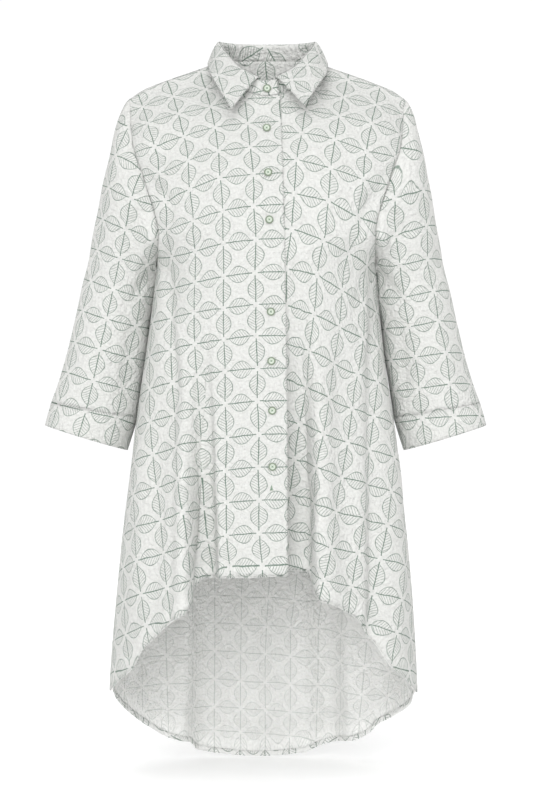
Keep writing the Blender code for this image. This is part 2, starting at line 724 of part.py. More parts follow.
def make_collar(material):
    stand = pull_in(stand_grid(), top=STAND_LOW_CLEARANCE, bottom=STAND_TOP_CLEARANCE)
    loft("collar_stand", stand, COLLAR_CLOTH, material)
    loft("collar_leaf", pull_in(leaf_grid(), top=LEAF_TOP_CLEARANCE), COLLAR_CLOTH, material)


def button_profile():
    """Half section of a button, top to bottom: a shallow well, a raised rim, a flat underside."""
    return [(row.radius * BUTTON_RADIUS, row.height * BUTTON_THICKNESS) for row in BUTTON_SECTION]


def make_button(name, place, outward, material):
    mesh = bpy.data.meshes.new(name)
    profile = [(radius * MM, 0, height * MM) for radius, height in button_profile()]
    mesh.from_pydata(profile, [(i, i + 1) for i in range(len(profile) - 1)], [])
    mesh.materials.append(material)
    button = bpy.data.objects.new(name, mesh)
    turned = button.modifiers.new("Turned", "SCREW")
    turned.steps = BUTTON_STEPS
    turned.render_steps = BUTTON_STEPS
    turned.use_merge_vertices = True
    turned.merge_threshold = 0.00001
    button.location = Vector(place) * MM
    button.rotation_mode = "QUATERNION"
    button.rotation_quaternion = Vector(outward).to_track_quat("Z", "Y")
    parts.objects.link(button)
    return button


def lap_level(grid, z):
    """Points across the lap at one height."""
    return np.array([[np.interp(-z, -line[:, 2], line[:, axis]) for axis in (0, 1)] for line in grid])


def lap_place(lap, z):
    """Where a button sits on the lap, and the way it faces."""
    level = lap_level(lap, z)
    x = level[0, 0] - BUTTON_FROM_EDGE
    y, above, below = (
        np.interp(-x, -line[:, 0], line[:, 1])
        for line in (level, lap_level(lap, z + BUTTON_RADIUS), lap_level(lap, z - BUTTON_RADIUS))
    )
    outward = np.array((0, -1.0, (above - below) / (2 * BUTTON_RADIUS)))
    outward /= np.linalg.norm(outward)
    return np.array((x, y, z)) + outward * (CLOTH / 2 + SEAM_GAP), outward


def stand_place():
    """The same for the button on the middle of the stand."""
    low = neck_seam(0.0)
    high = fold_line(0.0)
    rise = (high - low) / np.linalg.norm(high - low)
    outward = np.array((0, -rise[2], rise[1]))
    return low + (high - low) * STAND_BUTTON_SHARE + outward * (COLLAR_CLOTH / 2 + SEAM_GAP), outward


def make_buttons(material):
    lap = half_grid(FRONT_RIGHT)[:, :LAP_COLUMNS].swapaxes(0, 1)
    places = [stand_place()] + [lap_place(lap, z) for z in BUTTON_HEIGHTS]
    for number, (place, outward) in enumerate(places, start=1):
        make_button(f"button_{number}", place, outward, material)


for thing in list(bpy.data.objects):
    bpy.data.objects.remove(thing)
parts = bpy.data.collections.new("tunic_top")
bpy.context.scene.collection.children.link(parts)

cotton = cloth_material("printed_cotton", (0.82, 0.84, 0.81), 0.85)
hem_cotton = cloth_material("hem_cotton", (0.74, 0.77, 0.74), 0.85)
shell = cloth_material("button_shell", (0.62, 0.72, 0.60), 0.35)

make_fronts(cotton)
make_back(cotton)
make_hems(hem_cotton)
make_sleeves(cotton)
make_collar(cotton)
make_buttons(shell)
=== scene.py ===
"""Looks of the high-low tunic shirt: printed cotton, seams, stitching, creases and buttons.

Form sizes are millimetres, in the frame of the CAD model. +X is the wearer's left, -Y the front
and +Z up. The body, sleeves and collar follow the solids' own curves, with finer creases. The print
is laid on cloth that is first flattened, so it runs with the grain.
"""

import math
from collections import namedtuple
from functools import partialmethod

import bmesh
import bpy
import numpy as np
from mathutils import Matrix, Vector


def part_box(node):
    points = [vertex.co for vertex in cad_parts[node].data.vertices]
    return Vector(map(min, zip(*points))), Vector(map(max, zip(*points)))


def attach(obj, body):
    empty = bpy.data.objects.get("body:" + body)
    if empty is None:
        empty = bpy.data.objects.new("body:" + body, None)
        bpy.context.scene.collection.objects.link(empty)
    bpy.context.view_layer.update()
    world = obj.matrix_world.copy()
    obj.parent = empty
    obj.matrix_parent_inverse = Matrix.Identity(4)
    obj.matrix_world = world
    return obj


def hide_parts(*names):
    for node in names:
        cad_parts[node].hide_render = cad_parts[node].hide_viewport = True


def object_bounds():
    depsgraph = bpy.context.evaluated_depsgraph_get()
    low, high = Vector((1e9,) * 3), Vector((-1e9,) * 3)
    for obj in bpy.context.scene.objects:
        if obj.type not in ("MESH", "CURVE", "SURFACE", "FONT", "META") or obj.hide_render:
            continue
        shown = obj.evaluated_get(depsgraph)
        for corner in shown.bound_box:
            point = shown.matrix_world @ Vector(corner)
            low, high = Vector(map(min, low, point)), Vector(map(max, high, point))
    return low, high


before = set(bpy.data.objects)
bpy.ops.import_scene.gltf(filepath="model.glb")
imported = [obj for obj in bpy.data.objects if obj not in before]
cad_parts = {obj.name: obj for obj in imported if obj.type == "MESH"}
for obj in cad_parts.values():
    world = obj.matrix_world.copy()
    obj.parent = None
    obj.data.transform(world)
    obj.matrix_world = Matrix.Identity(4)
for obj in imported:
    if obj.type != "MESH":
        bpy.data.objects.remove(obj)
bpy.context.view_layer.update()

MM = 0.001


def table(columns, *rows):
    """Rows with named columns."""
    return tuple(map(namedtuple("Row", columns)._make, rows))


# ---- cloth and sewing
CLOTH = 1.2  # wall of a single layer
COLLAR_CLOTH = 1.5  # collar and cuffs, two layers and interlining
SEAM_GAP = 0.3
HEM_WIDTH = 8.0
HEM_END_CLEARANCE = 2.0
LAP_GAP = 0.8  # between the fronts where the right one lies over the left
LAP_EASE = (2.0, 26.0)  # where the left front starts and ends coming out again beside the lap

# ---- columns of a panel: 0 at its middle, 1 at the armhole and side seam
NECK_CORNER = 0.292  # where neckline and shoulder seam meet
NECK_CROWDING = 0.65  # below 1, the neckline's columns are closer together towards its middle

# ---- lap: how far each front runs past the middle
LAP = table(
    "z x",
    (-50, 19), (-95, 20.5), (-240, 24.5), (-400, 26.8), (-560, 28.6), (-730, 28.8),
)
LAP_REACH = -0.2  # column that lies past the edge at any height

# ---- neck
NECK_HALF_WIDTH = 70.0
NECK_MIDDLE_Y = -6.0
NECK_HALF_DEPTH = 68.0
FOLD_HALF_WIDTH = 66.0
FOLD_MIDDLE_Y = -5.0
FOLD_HALF_DEPTH = 65.0
NECK = table(  # by angle round the neck from the front
    "angle seam_z fold_z",
    (0, -50, -27), (28, -41, -14), (62, -11, 17), (90, 8, 34), (135, 15, 39), (180, 18, 41),
)
LEAF_EDGE = table(  # outer edge of the collar leaf, from its right point round the back to its left one
    "angle x y z",
    (8, -50, -101, -72), (35, -67, -84, -43), (65, -82, -44, -11), (95, -86, 10, 8),
    (135, -65, 62, 8), (180, 0, 84, 6), (225, 65, 62, 8), (265, 88, 10, 8), (295, 86, -44, -11),
    (325, 69, -84, -41), (352, 53, -101, -67),
)
LEAF_START = 8.0
LEAF_ROLL_OUT = 5.0  # how the leaf rolls over the fold line: outward and upward pulls
LEAF_ROLL_UP = 12.0
LEAF_BELLY = 4.0  # outward bow of the leaf's lower half
LEAF_BELLY_SHARE = 0.4  # where that bow is, up from the outer edge
STAND_LAP = 14.0  # degrees that each end of the stand runs past the middle
STAND_LAP_EASE = 42.0  # degrees over which its left end goes behind the right one
STAND_TOP_CLEARANCE = 1.2

# ---- shoulders and chest
SHOULDER_TIP = (198.0, -12.0, -48.0)
SHOULDER_BOW = 5.0  # upward bow of the shoulder seam, greatest two thirds of the way out
BOW_GAIN = 27 / 4  # makes the bow's curve 1 there
CHEST_COLUMNS = "middle_y middle_z edge_x edge_y edge_z"
FRONT_CHEST = table(  # rows under the shoulder, each from the middle to the armhole
    CHEST_COLUMNS,
    (-88, -98, 193, -36, -102),
    (-104, -165, 174, -60, -168),
    (-114, -235, 154, -63, -243),
)
BACK_CHEST = table(
    CHEST_COLUMNS,
    (90, -55, 195, 26, -92),
    (108, -150, 180, 56, -168),
    (112, -235, 164, 54, -250),
)
RIDGE = table(  # the back's first row below its top edge, round the neck and along the shoulder
    "across x y z",
    (0.0, 0, 73, 11), (0.15, 41, 60, 10), (0.22, 63, 44, 8), (0.292, 81, 25, 3),
    (0.5, 110, 13, -4.5), (0.75, 154, 10.5, -20), (0.9, 181, 8.5, -31.5), (1.0, 198, 7, -43),
)
RIDGE_DROP = 7.0  # of that row at the middle of the back

# ---- body below the armholes
BODY = table(  # a box value pushes the quarters of the oval out
    "z half_width front back side_y sway front_box back_box",
    (-1030, 226, 158, 172, 4, -5, 0.02, 0.06),
    (-902, 223, 154, 166, 4, -5, 0.02, 0.05),
    (-713, 209.5, 146, 148, 3, -3.5, 0.02, 0.03),
    (-567, 192, 136, 132, 2, -3.5, 0.01, 0.01),
    (-505, 185, 131, 126, 2, -3.2, 0, 0),
    (-445, 176.5, 127, 121, 2, -3.2, 0, 0),
    (-380, 168, 122, 116, 2, -2.4, 0, 0),
    (-300, 159, 118, 112, 2, -1.5, 0, 0),
)
CHEST_Z = -300.0
BELOW_CHEST = 60.0

# ---- hems, by distance from the middle
HEM_COLUMNS = "x z"
HEM_REFERENCE = 223.0  # half width that the distances are measured on
FRONT_RIGHT_HEM = table(
    HEM_COLUMNS,
    (-30, -724), (24, -726), (96, -729), (101, -738), (105, -766), (113, -778), (129, -788),
    (154, -815), (171, -835), (181, -856), (209, -884), (223, -900),
)
FRONT_LEFT_HEM = table(
    HEM_COLUMNS,
    (-30, -722), (35, -718), (64, -719), (68, -728), (73, -745), (81, -757), (101, -765),
    (130, -785), (158, -817), (179, -857), (202, -878), (223, -902),
)
BACK_RIGHT_HEM = table(
    HEM_COLUMNS,
    (0, -1024), (74, -1019), (94, -1014), (107, -1000), (122, -996), (137, -991), (161, -973),
    (192, -946), (214, -919), (223, -901),
)
BACK_LEFT_HEM = table(
    HEM_COLUMNS,
    (0, -1024), (58, -1018), (79, -1009), (98, -1002), (134, -994), (151, -983), (161, -969),
    (180, -956), (214, -926), (223, -903),
)

# ---- folds: troughs have a negative depth, and a high power has a flat floor and steep sides
FOLD_COLUMNS = "top_x top_z low_x low_z inner outer depth lean power"
FRONT_RIGHT_FOLDS = table(
    FOLD_COLUMNS,
    (94, -330, 89, -730, 18, 15, -28, 0, 5),
    (122, -330, 118, -770, 12, 34, 18, -4, 3),
    (158, -170, 136, -400, 9, 9, -7, 0, 2),
)
FRONT_LEFT_FOLDS = table(
    FOLD_COLUMNS,
    (44, -240, 49, -720, 28, 17, -28, 0, 5),
    (76, -290, 78, -750, 12, 32, 18, -4, 3),
    (158, -170, 150, -400, 9, 9, -7, 0, 2),
    (140, -480, 150, -800, 16, 16, -8, 0, 2),
)
BACK_FOLDS = table(
    FOLD_COLUMNS,
    (75, -420, 92, -1010, 20, 20, 14, 0, 2),
    (110, -420, 132, -980, 16, 20, -14, 0, 2),
)
FOLD_FREE_SIDE = 0.86  # column past which folds fade out before the side seam
FOLD_TOP_WIDTH = 0.75  # of a fold at its top, as a share of its width at the bottom
FOLD_OVERRUN = 1.1  # how far past its low end a fold may be followed
FOLD_FULL = 0.9  # share of its length by which a fold has its full depth

# ---- half panels
Half = namedtuple("Half", "side at_back chest hem folds guides columns")
GUIDE_COLUMNS = "across_top low_x"  # a guide is a column that follows a fold's side
FRONT_RIGHT = Half(
    side=-1,
    at_back=False,
    chest=FRONT_CHEST,
    hem=FRONT_RIGHT_HEM,
    folds=FRONT_RIGHT_FOLDS,
    guides=table(GUIDE_COLUMNS, (0.2, 73), (NECK_CORNER, 105)),
    columns=(8, 5, 22),
)
FRONT_LEFT = FRONT_RIGHT._replace(
    side=1,
    hem=FRONT_LEFT_HEM,
    folds=FRONT_LEFT_FOLDS,
    guides=table(GUIDE_COLUMNS, (NECK_CORNER, 67)),
    columns=(11, 24),
)
BACK_RIGHT = Half(
    side=-1,
    at_back=True,
    chest=BACK_CHEST,
    hem=BACK_RIGHT_HEM,
    folds=BACK_FOLDS,
    guides=table(GUIDE_COLUMNS, (NECK_CORNER, 100)),
    columns=(6, 12),
)
BACK_LEFT = BACK_RIGHT._replace(side=1, hem=BACK_LEFT_HEM)

# ---- sleeves
RING_COLUMNS = "x y z half_width half_depth tilt"
SLEEVE_SWAY = -2.0  # of both sleeves
SLEEVE_RINGS = table(  # tilt in degrees, the inner side lower
    RING_COLUMNS,
    (212.5, 20, -312, 51.8, 58, 9.5),
    (224.5, 20, -380, 55.7, 57, 9.5),
    (235.8, 20, -438, 58.4, 55, 9.8),
    (249.7, 20, -496, 63.5, 54, 10),
)
CUFF_RINGS = table(
    RING_COLUMNS,
    (249.7, 20, -496, 64.1, 54.6, 10),
    (255.5, 18, -516, 63, 55, 13.5),
    (261.2, 16, -535.6, 62.3, 55, 16.9),
)
CAP_HEADINGS = table(  # how the sleeve leaves the armhole, by turn from the underarm through the front
    "turn x y z length",
    (0.0, 1.0, 0.0, 0.0, 0.9),
    (0.12, 0.8, -0.6, -0.1, 0.9),
    (0.25, 0.75, -0.5, -0.4, 0.85),
    (0.5, 0.95, 0.0, -0.31, 0.28),
    (0.75, 0.75, 0.5, -0.4, 0.85),
    (0.88, 0.8, 0.6, -0.1, 0.9),
    (1.0, 1.0, 0.0, 0.0, 0.9),
)
CAP_FALL = 0.9  # pull of the hanging sleeve on the lower end of the cap

# ---- buttons
BUTTON_RADIUS = 5.8
BUTTON_THICKNESS = 2.4

# ---- mesh density
PANEL_ROWS = (11, 12)  # above the armhole's foot, below it
TOP_CROWDING = 1.4  # rows are closer together towards the shoulder
SLEEVE_COLUMNS = 2 * PANEL_ROWS[0]
SLEEVE_ROWS = (8, 6)
CUFF_ROWS = 2
FINE_STEPS = 600  # for measuring along a row's cloth
STAND_SIZE = (34, 2)
LEAF_SIZE = (32, 5)

# ---- camera and photograph
CAMERA_X = -0.7
CAMERA_Z = -481.0
CAMERA_DISTANCE = 3200.0
CAMERA_LENS = 99.3
PIXEL = 1.45  # size of a pixel where the garment stands
IMAGE_MIDDLE = (266.5, 400.0)

# ---- finer form
FINER = 4  # the shells have this many times the solids' rows and columns
SHELL = 0.9  # thickness of the cloth that shows
COLLAR_SHELL = 1.3

CREASE_COLUMNS = "from_a from_z to_a to_z width depth bow"
# a is the distance from the middle, or round a sleeve from its outer side towards the front
FRONT_RIGHT_CREASES = table(
    CREASE_COLUMNS,
    (182, -150, 128, -232, 12, -3.2, 4),
    (176, -205, 140, -300, 9, 2.2, 3),
    (150, -225, 118, -330, 10, -2.6, -3),
    (60, -90, 100, -180, 26, 1.6, 0),
    (62, -480, 58, -735, 10, -2.2, 2),
    (170, -240, 112, -400, 7, -1.8, 5),
    (160, -262, 134, -430, 6, 1.6, 3),
    (172, -175, 132, -200, 6, -1.6, 2),
    (148, -330, 112, -520, 7, -1.7, -4),
    (140, -420, 152, -790, 15, -4.5, -3),
    (176, -520, 188, -860, 14, 3.5, 3),
    (160, -640, 172, -840, 11, 2.4, 0),
)
FRONT_LEFT_CREASES = table(
    CREASE_COLUMNS,
    (182, -150, 132, -226, 12, -3.0, 4),
    (172, -215, 146, -318, 9, 2.4, 3),
    (154, -190, 104, -290, 11, -2.6, -4),
    (58, -90, 92, -190, 26, 1.6, 0),
    (102, -380, 108, -770, 14, -3.6, 3),
    (168, -242, 118, -380, 7, -1.8, 4),
    (158, -266, 126, -450, 6, 1.6, -3),
    (170, -182, 128, -214, 6, -1.6, -2),
    (36, -260, 40, -700, 7, -1.6, 0),
    (178, -470, 186, -860, 14, 3.8, -3),
    (128, -560, 136, -800, 12, 2.6, 0),
)
BACK_RIGHT_CREASES = table(
    CREASE_COLUMNS,
    (186, -150, 120, -250, 13, -3.4, 5),
    (176, -210, 138, -330, 10, 2.4, 3),
    (28, -560, 22, -1025, 14, -4.0, 2),
    (52, -500, 58, -1015, 14, 3.0, -2),
    (160, -480, 176, -950, 15, 4.0, 3),
    (190, -600, 202, -920, 12, -3.0, 0),
)
BACK_LEFT_CREASES = table(
    CREASE_COLUMNS,
    (186, -150, 126, -240, 13, -3.0, 5),
    (174, -220, 142, -345, 10, 2.4, 3),
    (16, -700, 14, -1025, 12, 2.4, 0),
    (46, -520, 52, -1015, 14, -3.4, -2),
    (164, -470, 180, -950, 15, 3.6, -3),
    (194, -640, 204, -920, 12, -2.6, 0),
)
SLEEVE_ROUND = 345.0  # length round a sleeve
SLEEVE_CREASES = table(
    CREASE_COLUMNS,
    (150, -170, 96, -262, 10, -3.4, 6),
    (160, -225, 110, -300, 9, 2.6, 4),
    (158, -290, 106, -345, 9, -2.6, 5),
    (20, -260, 78, -330, 16, -2.0, 6),
    (70, -350, 64, -490, 15, 2.0, 3),
    (118, -360, 130, -490, 13, -2.4, 2),
    (-150, -180, -96, -270, 11, -3.2, 6),
    (-20, -280, -82, -330, 14, -2.4, 6),
    (-72, -350, -78, -490, 15, 2.2, 3),
    (172, -255, 172, -345, 17, 5, 0),
    (-172, -255, -172, -345, 17, 5, 0),
)
CREASE_GAIN = 1.5  # on all the depths above
CREASE_STARTS = (-0.12, 0.3)  # shares of a crease's length over which it comes in and goes out
CREASE_ENDS = (0.7, 1.12)
SIDE_FADE = 0.1  # shares of a piece beside its seams where creases fade out
TOP_FADE = 0.08
SLEEVE_TOP_FADE = 0.1
SLEEVE_LOW_FADE = 0.06
UNEVEN = 0.6  # height of the cloth's slight unevenness
UNEVEN_WAVES = 9
UNEVEN_LENGTHS = (38.0, 120.0)
SEEDS = {"front": 11, "back": 13, "sleeve_right": 15, "sleeve_left": 16}

# ---- sewing that shows
SHELL_GAP = 0.05  # between sewn pieces' shells
STAND_SEAM_GAP = 0.4
LINED_ROWS = 3  # of the back, under the neck, where its inside shows the print's right side
HEM_SHELL = 0.6
HEM_INNER_FACE = 1.25  # from the middle of the panel's cloth
HEM_SECTION = table(  # up from the edge, and outward
    "up out",
    (7.6, -0.95), (4, -0.95), (0.7, -0.95), (-0.35, -0.7), (-0.65, -0.25), (-0.65, 0.15),
)
LEAF_ROLL = table(  # from the leaf's first row back over the stand's top edge and down to the neck seam
    "inward down",
    (-2.1, 24.2), (-1.3, 18), (-0.4, 12), (0.4, 7), (1.0, 3.6), (1.3, 1.5), (0.8, 0.4),
)
LEAF_PRINT_FROM = 4  # first row of the leaf, at its fold, that shows the leaf's own print
LEAF_ROW = 2.2
LINING_PRINT_SCALE = 0.8
LINING_PRINT_TURN = 32.0
FACING_SIZE = (64, 8)
FACING_START = -1.2  # below the neck seam
FACING_IN = 1.55
FACING_EASE = 0.3  # how much further in it hangs below its top
FACING_EASED = 0.2  # share of its depth by which it does
FACING_FRONT = 3.0  # depths at the front and at the back
FACING_BACK = 33.0
FACING_DEEPENS = (50.0, 110.0)  # degrees from the front
THREAD_RADIUS = 0.2
STITCH_STEP = 2.9
STITCH_LENGTH = 2.2
STITCH_SHOULDER = 0.3  # where a stitch is thickest, from its middle, as a share of its length
HEM_STITCH_UP = 6.5
LAP_STITCH_IN = 4.0
CUFF_STEP_IN = 0.6  # of the cuff's top, so that it lies level with the sleeve
CUFF_STEP_SHARE = 0.6  # of the cuff's height, over which it comes out again
CUFF_STITCH_UP = 5.0
CUFF_STITCH_DOWN = 2.5
STAND_STITCH_UP = 2.0
LEAF_STITCH_IN = 5.0
LEAF_STITCH_TOP = 12  # row of the leaf where the stitches of its front ends start
ALLOWANCE_AT = (9.0, 6.0, 3.0, 0.7)  # distances from the seam
ALLOWANCE_OFF = 0.95
ALLOWANCE_SHELL = 0.5
OVERLOCK_STEP = 2.2
OVERLOCK_LENGTH = 3.0
OVERLOCK_SLANT = 0.9

# ---- buttons that show
BUTTON_COUNT = 8
BUTTON_SEGMENTS = 40
BUTTON_STANDS_OFF = 0.3
BUTTON_TURNING = table(  # as shares of the radius and the thickness
    "radius height",
    (0, 0.6), (0.48, 0.62), (0.58, 0.72), (0.66, 0.92), (0.76, 1), (0.88, 0.96), (0.96, 0.8),
    (1, 0.5), (0.96, 0.2), (0.86, 0), (0, 0),
)
HOLE_FROM_MIDDLE = 1.55
HOLE_RADIUS = 0.6
HOLE_SEGMENTS = 12
BUTTON_MERGE = 0.00001  # in metres
BUTTON_THREAD = 0.22
BUTTONHOLE_REACH = 6.6
BUTTONHOLE_STEP = 0.45
BUTTONHOLE_STITCH = 1.3
BUTTONHOLE_HALF_WIDTH = 0.75
BUTTONHOLE_BARS = 4
TACK_X = 6.3
TACK_Z = -599.5
TACK_ROWS = 14
TACK_STEP = 0.52
TACK_WIDTH = 6.0
TACK_LEAST = 1.2

# ---- print: leaves along the lines of a square lattice
LEAF_PITCH = 48.0
BACK_PITCH = 43.0
FRONT_PITCH = table(  # the front's print is closer near the top
    "z pitch",
    (-20, 33), (-110, 35), (-160, 40), (-200, 47), (-260, 48), (-1040, 48),
)

PRINT_COLUMNS = "x y u v"
# crossings of the lattice where the photograph shows them, in its pixels
FRONT_RIGHT_PRINT = table(
    PRINT_COLUMNS,
    (246.3, 99.2, 0, 0), (247.0, 146.7, 0, 2), (250.0, 206.7, 0, 4), (251.0, 274.0, 0, 6),
    (252.0, 333.6, 0, 8), (253.6, 399.6, 0, 10), (254.4, 466.7, 0, 12), (254.9, 532.0, 0, 14),
    (206.2, 85.8, 1, -1), (213.8, 127.5, 1, 1), (216.2, 175.8, 1, 3), (219.5, 242.2, 1, 5),
    (221.0, 311.0, 1, 7), (225.0, 371.4, 1, 9), (228.3, 440.0, 1, 11), (227.8, 501.6, 1, 13),
    (228.4, 566.7, 1, 15), (171.7, 95.3, 2, -1), (184.2, 139.7, 2, 1), (187.0, 191.2, 2, 3),
    (195.6, 252.0, 2, 5), (142.2, 108.8, 3, -1), (161.7, 160.0, 3, 1), (170.0, 213.3, 3, 3),
)
FRONT_LEFT_PRINT = table(
    PRINT_COLUMNS,
    (304.2, 105.8, 0, 0), (295.8, 157.5, 0, 2), (293.3, 226.7, 0, 4), (292.0, 302.0, 0, 6),
    (290.0, 371.0, 0, 8), (342.5, 93.3, 1, -1), (334.7, 139.7, 1, 1), (329.2, 197.5, 1, 3),
    (318.0, 271.0, 1, 5), (377.0, 105.3, 2, -1), (364.2, 157.5, 2, 1), (352.5, 219.2, 2, 3),
    (340.0, 291.0, 2, 5), (334.0, 366.0, 2, 7), (324.4, 440.0, 2, 9), (313.3, 506.7, 2, 11),
    (363.0, 310.0, 3, 5), (351.0, 383.0, 3, 7), (344.4, 481.0, 3, 10), (330.0, 557.8, 3, 12),
)
BACK_PRINT = table(
    PRINT_COLUMNS,
    (217.5, 623.8, -1, 0), (243.8, 623.8, 0, 0), (287.5, 628.0, 2, 0), (313.8, 629.0, 3, 0),
    (217.5, 680.0, -1, 2), (244.0, 681.3, 0, 2), (262.5, 683.0, 1, 2), (287.5, 685.5, 2, 2),
    (316.0, 688.0, 3, 2), (216.0, 733.8, -1, 4), (245.0, 735.0, 0, 4), (287.5, 741.0, 2, 4),
)
SLEEVE_RIGHT_PRINT = table(
    PRINT_COLUMNS,
    (124.2, 127.0, 0, 0), (110.5, 187.5, 0, 2), (99.4, 249.0, 0, 4), (84.0, 310.0, 0, 6),
    (70.0, 371.0, 0, 8), (138.8, 175.3, -1, 1), (123.8, 230.3, -1, 3), (112.0, 289.0, -1, 5),
    (98.4, 350.0, -1, 7), (85.6, 411.0, -1, 9), (149.7, 240.8, -2, 3), (135.6, 299.0, -2, 5),
    (125.6, 359.4, -2, 7), (114.4, 417.0, -2, 9),
)
SLEEVE_LEFT_PRINT = table(
    PRINT_COLUMNS,
    (401.7, 128.7, 0, 0), (415.8, 195.8, 0, 2), (424.0, 259.0, 0, 4), (435.0, 320.0, 0, 6),
    (448.0, 382.0, 0, 8), (384.2, 176.7, -1, 1), (395.8, 241.7, -1, 3), (405.0, 301.0, -1, 5),
    (417.0, 358.0, -1, 7), (423.0, 416.0, -1, 9), (395.0, 360.0, -2, 7),
)
STAND_PRINT_TURN = 30.0
STAND_PRINT_SCALE = 0.9
LEAF_PRINT_TURN = 35.0
LEAF_PRINT_SCALE = 1.25
COLLAR_PRINT_Y = 52.0  # height in the photograph where the collar's print is held
FACING_PRINT_Y = 71.0
FACING_PRINT_V = 0.5  # what it is held at there
FACING_PRINT_SCALE = 0.85
PLACE_HOLD = 3.0  # how firmly the lattice is held at those places
BEYOND_COST = 1e6  # of a triangle that doesn't show at a place
PRINT_TOP_Z = 60.0
FLATTEN_STEPS = 40
LEAST_COTANGENT = 0.05

# ---- the print's drawing, in leaf pitches
PRINT_MAP = "cloth"
LEAF_BASE = 0.165  # where leaves start and end between two crossings
LEAF_TIP = 0.835
STEM_GAP = 0.08  # left white round a crossing
LEVEL_LEAF_WIDTH = 0.51
UPRIGHT_LEAF_WIDTH = 0.49
LEVEL_KIND = 0.0  # so that leaves both ways from a crossing have their own random numbers
UPRIGHT_KIND = 7.0
LEAF_SKEW = 0.92  # below 1, leaves are broader near their stems
LEAF_FULLNESS = 0.95
LEAF_SPREAD = 0.14  # how much their widths differ
EDGE_RUN = 0.01
OUTLINE = 0.02
MIDRIB = 0.021
VEIN = 0.013
OUTLINE_INK = 0.72
MIDRIB_INK = 0.95
VEIN_INK = 1.0
VEIN_SLANT = 1.25
VEIN_CURVE = 1.0
VEIN_SPACING = 0.13
VEIN_START = 0.07
LINE_SHARPNESS = 1.8
WOBBLE = 0.045
WOBBLE_SCALE = 4.5
PATCH_SCALE = 5.0
PATCH_DETAIL = 3.0
PATCH_RANGE = 0.8
BREAK_SCALE = 26.0  # unevenness of the printed lines
BREAK_RANGE = 0.9
BREAK_DETAIL = 2.0
THREADS = 90.0
THREAD_SHARE = 0.3
SLUB_SHARE = 0.5
SLUB_ALONG = 2.0  # how often a thread thickens along it, and how often threads do across them
SLUB_ACROSS = 60.0
SLUB_DETAIL = 1.0
# painted shade: these three darken the ground where the weave's height is low, between the threads and
# along thinner stretches of yarn
WEAVE_PAINTED_SHADE = 0.93
THREAD_CONTRAST = 0.5
THREAD_TONE = 0.25
WEAVE_STRENGTH = 0.25
WEAVE_DEPTH = 0.0004
CRINKLE_SCALE = 9.0
CRINKLE_DEPTH = 0.006
CRINKLE_DETAIL = 4.0
MOTTLE_SCALE = 15.0
MOTTLE_DETAIL = 4.0
MOTTLE_CONTRAST = 3.0
MOTTLE_SHADE = 0.11

# ---- colours
COTTON = (0.715, 0.718, 0.697)
# painted light: the ground of the inner faces is much lighter than the cotton outside, standing in for
# light that comes through the thin cloth and into the garment
COTTON_INSIDE_PAINTED_LIGHT = (0.95, 0.952, 0.932)
INK = (0.13, 0.19, 0.15)
COTTON_ROUGHNESS = 0.9
COTTON_SPECULAR = 0.2
COTTON_SHEEN = 0.08
COTTON_SHEEN_ROUGHNESS = 0.5
INSIDE_INK = 0.36  # share of the ink that shows on the wrong side
THREAD_FINISH = (0.6, 0.3, 0.1)  # roughness, specular level and sheen
THREAD_TWIST = 1800.0
THREAD_TWIST_SHADE = 0.8
THREAD_WHITE = (0.80, 0.81, 0.79)
THREAD_GREEN = (0.16, 0.27, 0.17)
BUTTON_RIM = (0.2, 0.25, 0.18)
BUTTON_MIDDLE = (0.56, 0.62, 0.53)
RIM_START = 0.6
RIM_BLEND = 0.08
BUTTON_FINISH = (0.3, 0.5)
BUTTON_CLOUD = 420.0
RIM_CLOUD_SHADE = 0.85
MIDDLE_CLOUD_SHADE = 0.93

# ---- light and floor
WALL_LIGHT = 1.04
CEILING_LIGHT = 0.53
WALL_TOP = 0.25  # heights, as sines, where the walls' light starts and ends giving way to the ceiling's
CEILING_START = 0.6
SIDE_DROP = 0.17  # how much dimmer the walls at the sides are
SIDE_TILT = 0.08  # how much brighter the right one is than the left one, halved
SUNS = table(  # softness, height and turn in degrees
    "name strength softness height turn",
    ("front", 0.95, 36, 10, -13),
    ("top", 1.42, 50, 50, -3),
    ("back", 0.9, 70, 32, 166),
)
FLOOR_GAP = 1.5
FLOOR_SIZE = 14.0
FLOOR_COLOUR = 0.9
FLOOR_FINISH = (0.95, 0.0)
FLOOR_GLOW = 0.21

FINE_PANEL_ROWS = tuple(FINER * count for count in PANEL_ROWS)


# ---- curves and tables
def column(rows, name):
    return np.array([getattr(row, name) for row in rows], dtype=float)


def gentle_slopes(stations, values, level):
    """Slopes at the stations that don't overshoot. The ends may be level."""
    gaps = np.diff(stations).reshape((-1,) + (1,) * (values.ndim - 1))
    steps = np.diff(values, axis=0) / gaps
    before, after = steps[:-1], steps[1:]
    agree = before * after > 0
    total = np.where(agree, before + after, 1.0)
    middle = np.where(agree, 2 * before * after / total, 0.0)
    end = 0.0 if level else 1.0
    return np.concatenate((steps[:1] * end, middle, steps[-1:] * end))


def smooth_through(stations, values, at, level=False):
    """Values of a smooth curve through the given ones, at places along it."""
    values = np.asarray(values, dtype=float)
    at = np.asarray(at, dtype=float)
    slopes = gentle_slopes(stations, values, level)
    index = np.clip(np.searchsorted(stations, at) - 1, 0, len(stations) - 2)
    width = stations[index + 1] - stations[index]
    part = np.clip((at - stations[index]) / width, 0.0, 1.0)
    extra = (1,) * (values.ndim - 1)
    width = width.reshape(width.shape + extra)
    part = part.reshape(part.shape + extra)
    start = values[index] * (1 + 2 * part) * (1 - part) ** 2
    end = values[index + 1] * part**2 * (3 - 2 * part)
    leave = slopes[index] * width * part * (1 - part) ** 2
    arrive = slopes[index + 1] * width * part**2 * (part - 1)
    return start + end + leave + arrive


def follow(rows, name, key, at, level=False):
    """One column of a table as a smooth function of another, whichever way its rows run."""
    stations = column(rows, key)
    values = column(rows, name)
    order = np.argsort(stations)
    return smooth_through(stations[order], values[order], at, level)


def curve(rows, key, at):
    """Points from the x, y and z columns of a table."""
    return points(*(follow(rows, name, key, at) for name in "xyz"))


